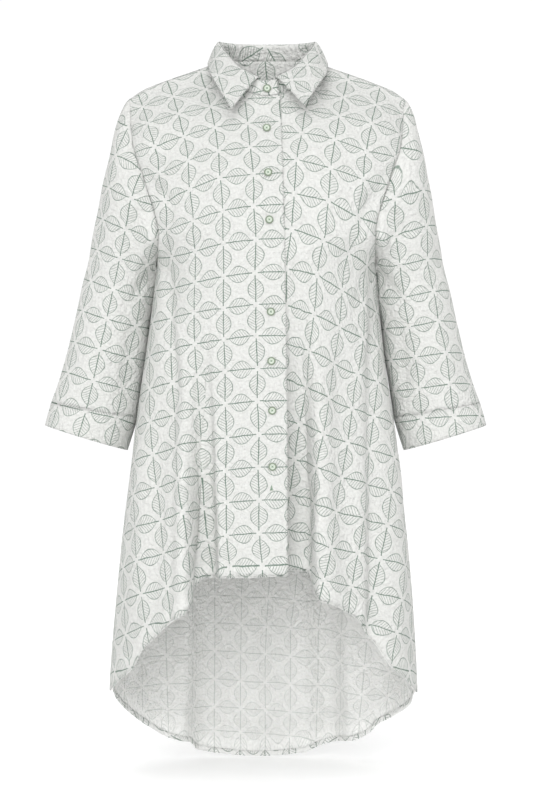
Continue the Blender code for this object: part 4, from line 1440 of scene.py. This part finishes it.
def leaf_lattice(tree, vector):
    """Ink of the whole print: a leaf along each side of each square."""
    drift = noise_node(tree, vector, WOBBLE_SCALE).outputs["Color"]
    inputs = {0: drift, 1: (WOBBLE,) * 3, 2: vector}
    moved = add_node(tree, "VectorMath", inputs, operation="MULTIPLY_ADD")
    u, v, _ = split(tree, moved.outputs[0])
    u_near = (u + 0.5).floor()
    v_near = (v + 0.5).floor()
    level_cell = (u.floor(), v_near, LEVEL_KIND)
    upright_cell = (u_near, v.floor(), UPRIGHT_KIND)
    level = leaf_ink(tree, u.fraction(), v - v_near, level_cell, LEVEL_LEAF_WIDTH)
    upright = leaf_ink(tree, v.fraction(), u - u_near, upright_cell, UPRIGHT_LEAF_WIDTH)
    return level.most(upright)


def weave_height(tree, vector):
    """Threads both ways, with thicker ones here and there."""
    u, v, _ = split(tree, vector)
    warp = (u * (THREADS * 2 * math.pi)).sine()
    weft = (v * (THREADS * 2 * math.pi)).sine()
    slubs_along = noise(tree, join(tree, u * SLUB_ALONG, v * SLUB_ACROSS), SLUB_DETAIL)
    slubs_down = noise(tree, join(tree, u * SLUB_ACROSS, v * SLUB_ALONG), SLUB_DETAIL)
    return warp * weft * THREAD_SHARE + slubs_along * SLUB_SHARE + slubs_down * SLUB_SHARE


def noise_round_one(tree, vector, scale, detail, span):
    return noise(tree, vector, scale, detail) * span + (1 - span / 2)


def cotton(name, ground, ink, strength):
    """White cotton with the leaf print. Strength is how much of the ink shows."""
    material, tree, shader = new_material(name, COTTON_ROUGHNESS, COTTON_SPECULAR, COTTON_SHEEN)
    shader.inputs["Sheen Roughness"].default_value = COTTON_SHEEN_ROUGHNESS
    vector = add_node(tree, "UVMap", {}, uv_map=PRINT_MAP).outputs["UV"]
    pattern = leaf_lattice(tree, vector)
    patches = noise_round_one(tree, vector, PATCH_SCALE, PATCH_DETAIL, PATCH_RANGE)
    breaks = noise_round_one(tree, vector, BREAK_SCALE, BREAK_DETAIL, BREAK_RANGE)
    share = (pattern * (patches * breaks) * strength).clamp()
    height = weave_height(tree, vector)
    # painted shade: the ground is darker where the weave's height is low, the same height that bumps the
    # cloth
    weave_painted_shade = tuple(part * WEAVE_PAINTED_SHADE for part in ground)
    share_lit = (height * THREAD_CONTRAST + THREAD_TONE).clamp()
    tone = mix_colour(tree, share_lit, weave_painted_shade, ground)
    darker = add_node(tree, "VectorMath", {0: tone, "Scale": 1 - MOTTLE_SHADE}, operation="SCALE")
    mottle = noise(tree, vector, MOTTLE_SCALE, MOTTLE_DETAIL)
    mottle = ((mottle - 0.5) * MOTTLE_CONTRAST + 0.5).clamp()
    tone = mix_colour(tree, mottle, tone, darker.outputs[0])
    feed(tree, shader.inputs["Base Color"], mix_colour(tree, share, tone, ink))
    crinkle = noise(tree, vector, CRINKLE_SCALE, CRINKLE_DETAIL)
    inputs = {"Strength": 1.0, "Distance": CRINKLE_DEPTH, "Height": crinkle}
    crinkled = add_node(tree, "Bump", inputs).outputs[0]
    inputs = {"Strength": WEAVE_STRENGTH, "Distance": WEAVE_DEPTH, "Height": height, "Normal": crinkled}
    feed(tree, shader.inputs["Normal"], add_node(tree, "Bump", inputs).outputs[0])
    return material


def clouded(tree, scale, colour, shade):
    """A colour with darker clouds, on the object's own places."""
    place = add_node(tree, "TexCoord", {}).outputs["Object"]
    darker = tuple(part * shade for part in colour)
    return mix_colour(tree, noise(tree, place, scale), darker, colour)


def thread_material(name, colour):
    """Sewing thread with its twist."""
    material, tree, shader = new_material(name, *THREAD_FINISH)
    feed(tree, shader.inputs["Base Color"], clouded(tree, THREAD_TWIST, colour, THREAD_TWIST_SHADE))
    return material


def button_material(name):
    """Pale centre and green rim, by the distance from the button's middle, slightly clouded."""
    material, tree, shader = new_material(name, *BUTTON_FINISH)
    x, y, _ = split(tree, add_node(tree, "TexCoord", {}).outputs["Object"])
    away = (x * x + y * y).root() / (BUTTON_RADIUS * MM)
    rim = ((away - RIM_START) / RIM_BLEND).clamp()
    ring = clouded(tree, BUTTON_CLOUD, BUTTON_RIM, RIM_CLOUD_SHADE)
    middle = clouded(tree, BUTTON_CLOUD, BUTTON_MIDDLE, MIDDLE_CLOUD_SHADE)
    feed(tree, shader.inputs["Base Color"], mix_colour(tree, rim, middle, ring))
    return material


# ---- pieces
def make_panel(name, sheet, materials=(), lined_rows=0):
    """A body panel with its turned hem, and the stitches that hold it."""
    shown = sheet._replace(grid=pull_in(sheet.grid, top=SHELL_GAP, start=SHELL_GAP, end=SHELL_GAP))
    both = (outside, inside) + materials
    piece = cloth_piece("cloth_" + name, shown, SHELL, both, lined_rows=lined_rows)
    fold = hem_fold(sheet)
    fold = fold._replace(grid=pull_in(fold.grid, start=HEM_END_CLEARANCE, end=HEM_END_CLEARANCE))
    hem = cloth_piece("turned_hem_" + name, fold, HEM_SHELL, (lined_cotton_painted_light,))
    rows = [
        edge_stitches(sheet, HEM_STITCH_UP, SHELL),
        edge_stitches(inner_side(sheet), HEM_STITCH_UP, 2 * HEM_INNER_FACE),
    ]
    thread = sewn("hem_stitches_" + name, rows, white_thread)
    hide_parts(name)
    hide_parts("hem_" + name)


def make_fronts():
    for name, half, creases, places in (
        ("front_right", FRONT_RIGHT, FRONT_RIGHT_CREASES, FRONT_RIGHT_PRINT),
        ("front_left", FRONT_LEFT, FRONT_LEFT_CREASES, FRONT_LEFT_PRINT),
    ):
        grid = creased_half(half, creases, SEEDS["front"])
        flat = panel_print(half_grid(half), places, LEAF_PITCH, FRONT_PITCH)
        sheet = Sheet(grid, surface_normals(grid) * half.side, flat)
        lap_edge = flipped(turned(sheet))
        rows = [edge_stitches(lap_edge, LAP_STITCH_IN, SHELL)]
        extras = [sewn("edge_stitches_" + name, rows, white_thread)]
        if half is FRONT_RIGHT:
            extras += fasten(sheet)
        make_panel(name, sheet)


def make_back():
    left = creased_half(BACK_LEFT, BACK_LEFT_CREASES, SEEDS["back"])
    right = creased_half(BACK_RIGHT, BACK_RIGHT_CREASES, SEEDS["back"])
    middle = (left[:, :1] + right[:, :1]) / 2
    grid = np.concatenate((right[:, :0:-1], middle, left[:, 1:]), axis=1)
    flat = panel_print(back_grid(), BACK_PRINT, BACK_PITCH)
    sheet = Sheet(grid, -surface_normals(grid), flat)
    below_arm = slice(FINE_PANEL_ROWS[0], -1)
    extras = []
    for side, edge in (("left", turned(sheet)), ("right", flipped(turned(sheet)))):
        edge = Sheet(*(part[:, below_arm] for part in edge))
        extras += seam_allowance("side_seam_" + side, edge)
    make_panel("back", sheet, (outside, lined_cotton_painted_light), FINER * LINED_ROWS)


def tube_facing(grid, side):
    """The way a sleeve's or cuff's right side faces. Its columns close into a ring."""
    wrapped = np.concatenate((grid[:, -1:], grid, grid[:, :1]), axis=1)
    return surface_normals(wrapped)[:, 1:-1] * side


def make_sleeve(name, side, flat):
    columns = SLEEVE_COLUMNS * FINER
    grid = sleeve_grid(side, columns, tuple(FINER * count for count in SLEEVE_ROWS))
    a = np.broadcast_to((0.5 - np.arange(columns) / columns) * SLEEVE_ROUND, grid.shape[:2])
    depth = crease_depth(SLEEVE_CREASES, a, grid[..., 2]) + unevenness(grid, SEEDS["sleeve_" + name])
    down = np.arange(len(grid)) / len(grid)
    up = np.arange(len(grid))[::-1] / len(grid)
    depth *= (ramp(down, 0, SLEEVE_TOP_FADE) * ramp(up, 0, SLEEVE_LOW_FADE))[:, None]
    grid = grid + tube_facing(grid, side) * depth[..., None]
    facing = tube_facing(grid, side)
    shown = Sheet(pull_in(grid, top=SHELL_GAP, bottom=SHELL_GAP), facing, flat)
    sleeve = cloth_piece("cloth_sleeve_" + name, shown, SHELL, (outside, inside), closed=True)
    ring = Sheet(opened(grid), opened(facing), flat)
    extras = seam_allowance("armhole_seam_" + name, flipped(ring))
    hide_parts("sleeve_" + name)


def make_cuff(name, side, flat):
    grid = cuff_grid(side, SLEEVE_COLUMNS * FINER, CUFF_ROWS * FINER)
    step = CUFF_STEP_IN * (1 - ramp(np.linspace(0, 1, len(grid)), 0, CUFF_STEP_SHARE))
    grid = grid - tube_facing(grid, side) * step[:, None, None]
    facing = tube_facing(grid, side)
    shown = Sheet(pull_in(grid, top=SHELL_GAP), facing, flat)
    cuff = cloth_piece("cloth_cuff_" + name, shown, COLLAR_SHELL, (outside, lined_cotton_painted_light), closed=True)
    ring = Sheet(opened(grid), opened(facing), flat)
    edges = ((ring, CUFF_STITCH_UP), (flipped(ring), CUFF_STITCH_DOWN))
    rows = [edge_stitches(edge, distance, COLLAR_SHELL) for edge, distance in edges]
    thread = sewn("cuff_stitches_" + name, rows, white_thread)
    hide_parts("cuff_" + name)


def make_sleeves():
    for name, side, places in (("right", -1, SLEEVE_RIGHT_PRINT), ("left", 1, SLEEVE_LEFT_PRINT)):
        sleeve_flat, cuff_flat = sleeve_print(side, places)
        make_sleeve(name, side, sleeve_flat)
        make_cuff(name, side, cuff_flat)


def hung_print(grid, photo_y, v):
    """Lattice places of a piece whose print is held at one place, on its middle."""
    held = table(PRINT_COLUMNS, (IMAGE_MIDDLE[0], photo_y, 0, v))
    return flatten(grid, grid, held, LEAF_PITCH) / LEAF_PITCH


def turned_print(flat, degrees, scale):
    return flat * scale * np.exp(1j * math.radians(degrees))


def laid_collar(grid, size, degrees, scale):
    """Lattice places of a collar piece, whose print is turned on the cloth."""
    columns, rows = size
    fine = refine(hung_print(grid, COLLAR_PRINT_Y, 0), fine_steps(rows), fine_steps(columns))
    return turned_print(fine, degrees, scale)


def rolled_in(sheet):
    """The leaf's cloth, carried on over the stand's top edge and down its inside."""
    top = sheet.grid[0]
    inward = (0, FOLD_MIDDLE_Y, 0) - top * (1, 1, 0)
    inward /= lengths(inward)
    rows = [top + inward * row.inward - points(0, 0, row.down) for row in LEAF_ROLL]
    grid = np.concatenate((np.stack(rows), sheet.grid))
    around = reached(top) - reached(top)[-1] / 2
    down = np.concatenate((column(LEAF_ROLL, "down"), -np.arange(LEAF_PRINT_FROM) * LEAF_ROW))
    lining = (around[None, :] + 1j * down[:, None]) / LEAF_PITCH
    lining = turned_print(lining, LINING_PRINT_TURN, LINING_PRINT_SCALE)
    flat = np.concatenate((lining, sheet.flat[LEAF_PRINT_FROM:]))
    return Sheet(grid, -surface_normals(grid), flat)


def neck_facing():
    """The cloth inside the neck below its seam, deep at the back and narrow at the front."""
    angle = np.linspace(LEAF_START, 360 - LEAF_START, FACING_SIZE[0] + 1)
    depth = FACING_FRONT + (FACING_BACK - FACING_FRONT) * ramp(from_front(angle), *FACING_DEEPENS)
    share = np.linspace(0, 1, FACING_SIZE[1] + 1)[:, None]
    inward = -neck_outward(angle) * (FACING_IN + FACING_EASE * ramp(share, 0, FACING_EASED))[..., None]
    return neck_seam(angle) + inward - points(0, 0, share * depth + FACING_START)


def make_stand():
    grid = stand_grid(*(FINER * count for count in STAND_SIZE))
    flat = laid_collar(stand_grid(), STAND_SIZE, STAND_PRINT_TURN, STAND_PRINT_SCALE)
    sheet = Sheet(grid, surface_normals(grid), flat)
    shown = sheet._replace(grid=pull_in(grid, top=STAND_SEAM_GAP, bottom=STAND_TOP_CLEARANCE))
    stand = cloth_piece("cloth_collar_stand", shown, COLLAR_SHELL, (outside, lined_cotton_painted_light))
    rows = [edge_stitches(flipped(sheet), STAND_STITCH_UP, COLLAR_SHELL)]
    thread = sewn("stand_stitches", rows, white_thread)
    hanging = neck_facing()
    flat = hung_print(hanging, FACING_PRINT_Y, FACING_PRINT_V) * FACING_PRINT_SCALE
    sheet = Sheet(hanging, -surface_normals(hanging), flat)
    facing = cloth_piece("neck_facing", sheet, SHELL, (outside,))
    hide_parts("collar_stand")


def make_leaf():
    grid = leaf_grid(*(FINER * count for count in LEAF_SIZE))
    flat = laid_collar(leaf_grid(), LEAF_SIZE, LEAF_PRINT_TURN, LEAF_PRINT_SCALE)
    sheet = rolled_in(Sheet(grid, -surface_normals(grid), flat))
    leaf = cloth_piece("cloth_collar_leaf", sheet, COLLAR_SHELL, (outside,))
    ends = turned(Sheet(*(part[LEAF_STITCH_TOP:] for part in sheet)))
    rows = [edge_stitches(edge, LEAF_STITCH_IN, COLLAR_SHELL) for edge in (sheet, ends, flipped(ends))]
    thread = sewn("collar_stitches", rows, white_thread)
    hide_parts("collar_leaf")


# ---- buttons
def evaluated_mesh(thing):
    return bpy.data.meshes.new_from_object(thing.evaluated_get(bpy.context.evaluated_depsgraph_get()))


def button_mesh():
    """A turned button with a raised rim and four holes."""
    profile = bpy.data.meshes.new("button_section")
    radius = BUTTON_RADIUS * MM
    thickness = BUTTON_THICKNESS * MM
    corners = [(row.radius * radius, 0, row.height * thickness) for row in BUTTON_TURNING]
    profile.from_pydata(corners, [(i, i + 1) for i in range(len(corners) - 1)], [])
    blank = add_object("button_blank", profile)
    turning = blank.modifiers.new("Turned", "SCREW")
    turning.steps = turning.render_steps = BUTTON_SEGMENTS
    turning.use_merge_vertices = True
    turning.merge_threshold = BUTTON_MERGE
    drills = bmesh.new()
    for quarter in range(4):
        turn = math.radians(45 + 90 * quarter)
        place = Vector((math.cos(turn), math.sin(turn), 0)) * HOLE_FROM_MIDDLE * MM
        bmesh.ops.create_cone(
            drills,
            cap_ends=True,
            segments=HOLE_SEGMENTS,
            radius1=HOLE_RADIUS * MM,
            radius2=HOLE_RADIUS * MM,
            depth=4 * thickness,
            matrix=Matrix.Translation(place),
        )
    drill = add_object("button_drill", bpy.data.meshes.new("button_drill"))
    drills.to_mesh(drill.data)
    drills.free()
    cut = blank.modifiers.new("Holes", "BOOLEAN")
    cut.object = drill
    cut.solver = "EXACT"
    mesh = evaluated_mesh(blank)
    for thing in (blank, drill):
        bpy.data.objects.remove(thing)
    mesh.materials.clear()
    mesh.materials.append(button_shell)
    return mesh


def surface_place(sheet, x, z):
    """The place, in rows and columns, of a panel's point given across and by its height."""
    away = np.hypot(sheet.grid[..., 0] - x, sheet.grid[..., 2] - z)
    inner = away[1:-1, 1:-1]
    r, c = 1 + np.array(np.unravel_index(np.argmin(inner), inner.shape))
    down = sheet.grid[r + 1, c] - sheet.grid[r - 1, c]
    across = sheet.grid[r, c + 1] - sheet.grid[r, c - 1]
    steps = np.stack((down, across), axis=-1)[[0, 2]] / 2
    shift = np.linalg.solve(steps, (x, z) - sheet.grid[r, c, [0, 2]])
    return np.array([r + shift[0]]), np.array([c + shift[1]])


def on_lap(lap, x, z):
    """A point on the lap's right side, the way up the cloth there, and the way it faces."""
    place = surface_place(lap, x, z)
    facing = on_sheet(lap.facing, *place)[0]
    up = np.array((0, 0, 1.0)) - facing * facing[2]
    return on_sheet(lap.grid, *place)[0] + facing * SHELL / 2, up / np.linalg.norm(up), facing


def fasten(lap):
    """Buttons at the solids' places, with their thread and holes, and the tack below them."""
    mesh = button_mesh()
    threads = []
    holes = []
    buttons = []
    for number in range(1, BUTTON_COUNT + 1):
        low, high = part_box(f"button_{number}")
        middle = np.array((low + high) / 2) / MM
        if number == 1:
            up = fold_line(0.0) - neck_seam(0.0)
            up /= np.linalg.norm(up)
            facing = np.array((0, -up[2], up[1]))
            surface = middle - facing * (BUTTON_THICKNESS / 2 + BUTTON_STANDS_OFF)
            holes.append(buttonhole(surface, np.cross(up, facing), up, facing))
        else:
            surface, up, facing = on_lap(lap, middle[0], middle[2])
            holes.append(buttonhole(surface, up, np.cross(up, facing), facing))
        base = surface + facing * BUTTON_STANDS_OFF
        button = ride(f"shell_button_{number}", mesh)
        button.location = Vector(base) * MM
        button.rotation_mode = "QUATERNION"
        button.rotation_quaternion = Vector(facing).to_track_quat("Z", "Y")
        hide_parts(f"button_{number}")
        buttons.append(button)
        top = base + facing * BUTTON_THICKNESS * BUTTON_TURNING[0].height
        threads += thread_cross(top, up, facing)
    tack_place, tack_up, tack_facing = on_lap(lap, TACK_X, TACK_Z)
    return buttons + [
        sewn("button_threads", threads, green_thread),
        sewn("buttonholes", holes, white_thread),
        sewn("lap_tack", [tack(tack_place, tack_up, tack_facing)], green_thread),
    ]


def thread_cross(top, up, facing):
    """Two strands each way between a button's four holes."""
    side = np.cross(up, facing)
    strands = []
    for slant in (-1, 1):
        run = (up + side * slant) / math.sqrt(2)
        for off in (-1, 1):
            place = top + np.cross(facing, run) * off * BUTTON_THREAD
            length = 2 * HOLE_FROM_MIDDLE + HOLE_RADIUS
            strands.append(stitches(place[None], run[None], facing[None], length, BUTTON_THREAD))
    return strands


def buttonhole(place, up, across, facing):
    """Close stitches down both sides of a slit, and across its ends."""
    down = np.arange(-BUTTONHOLE_REACH, BUTTONHOLE_REACH, BUTTONHOLE_STEP)
    end = BUTTONHOLE_REACH + np.arange(BUTTONHOLE_BARS) * BUTTONHOLE_STEP
    rows = [(down, -BUTTONHOLE_HALF_WIDTH), (down, BUTTONHOLE_HALF_WIDTH), (end, 0.0), (-end, 0.0)]
    places = np.concatenate([place + up * line[:, None] + across * off for line, off in rows])
    length = np.repeat((BUTTONHOLE_STITCH, 2 * BUTTONHOLE_STITCH), (2 * len(down), 2 * len(end)))
    count = (len(places), 1)
    return stitches(places, np.tile(across, count), np.tile(facing, count), length)


def tack(place, up, facing):
    """A small triangle of close stitches that ends the buttoned stretch."""
    down = np.arange(TACK_ROWS) * TACK_STEP
    places = place - up * down[:, None]
    length = TACK_LEAST + (TACK_WIDTH - TACK_LEAST) * down / down[-1]
    count = (TACK_ROWS, 1)
    return stitches(places, np.tile(np.cross(up, facing), count), np.tile(facing, count), length)


# ---- stage, light and camera
def make_stage():
    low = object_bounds()[0]
    bpy.ops.mesh.primitive_plane_add(size=FLOOR_SIZE, location=(0, 0, low.z - FLOOR_GAP * MM))
    floor = bpy.context.object
    floor.name = "floor"
    material, _, shader = new_material("floor_paint", *FLOOR_FINISH)
    shader.inputs["Base Color"].default_value = (FLOOR_COLOUR,) * 3 + (1,)
    shader.inputs["Emission Color"].default_value = (1, 1, 1, 1)
    shader.inputs["Emission Strength"].default_value = FLOOR_GLOW
    floor.data.materials.append(material)


def make_light():
    world = bpy.data.worlds.new("studio")
    bpy.context.scene.world = world
    world.use_nodes = True
    tree = world.node_tree
    background = tree.nodes["Background"]
    background.inputs["Color"].default_value = (1, 1, 1, 1)
    x, _, z = split(tree, add_node(tree, "TexCoord", {}).outputs["Generated"])
    steps = {"Value": z, "From Min": WALL_TOP, "From Max": CEILING_START}
    lights = {"To Min": WALL_LIGHT, "To Max": CEILING_LIGHT}
    fade = add_node(tree, "MapRange", steps | lights, interpolation_type="SMOOTHSTEP")
    strength = Number(tree, fade.outputs[0]) * (x * SIDE_TILT - x * x * SIDE_DROP + 1.0)
    feed(tree, background.inputs["Strength"], strength)
    for row in SUNS:
        sun = add_object(row.name, bpy.data.lights.new(row.name, "SUN"))
        sun.data.energy = row.strength
        sun.data.angle = math.radians(row.softness)
        sun.rotation_euler = (math.radians(90 - row.height), 0, math.radians(row.turn))
    bpy.context.scene.view_settings.view_transform = "Standard"


def make_camera():
    camera = add_object("camera", bpy.data.cameras.new("camera"))
    camera.data.lens = CAMERA_LENS
    camera.location = (CAMERA_X * MM, -CAMERA_DISTANCE * MM, CAMERA_Z * MM)
    camera.rotation_euler = (math.pi / 2, 0, 0)
    bpy.context.scene.camera = camera


outside = cotton("printed_cotton", COTTON, INK, 1.0)
# painted light: these materials have the lighter inside ground. They cover the wrong side, the turned
# hems, the seam allowances, the inner faces of the cuffs and stand, and the back's lined rows. The wrong
# side also shows only a share of the ink
inside = cotton("printed_cotton_inside_painted_light", COTTON_INSIDE_PAINTED_LIGHT, INK, INSIDE_INK)
lined_cotton_painted_light = cotton("printed_cotton_turned_painted_light", COTTON_INSIDE_PAINTED_LIGHT, INK, 1.0)
white_thread = thread_material("white_thread", THREAD_WHITE)
green_thread = thread_material("green_thread", THREAD_GREEN)
button_shell = button_material("button_shell_green")

make_camera()
make_fronts()
make_back()
make_sleeves()
make_stand()
make_leaf()
make_stage()
make_light()
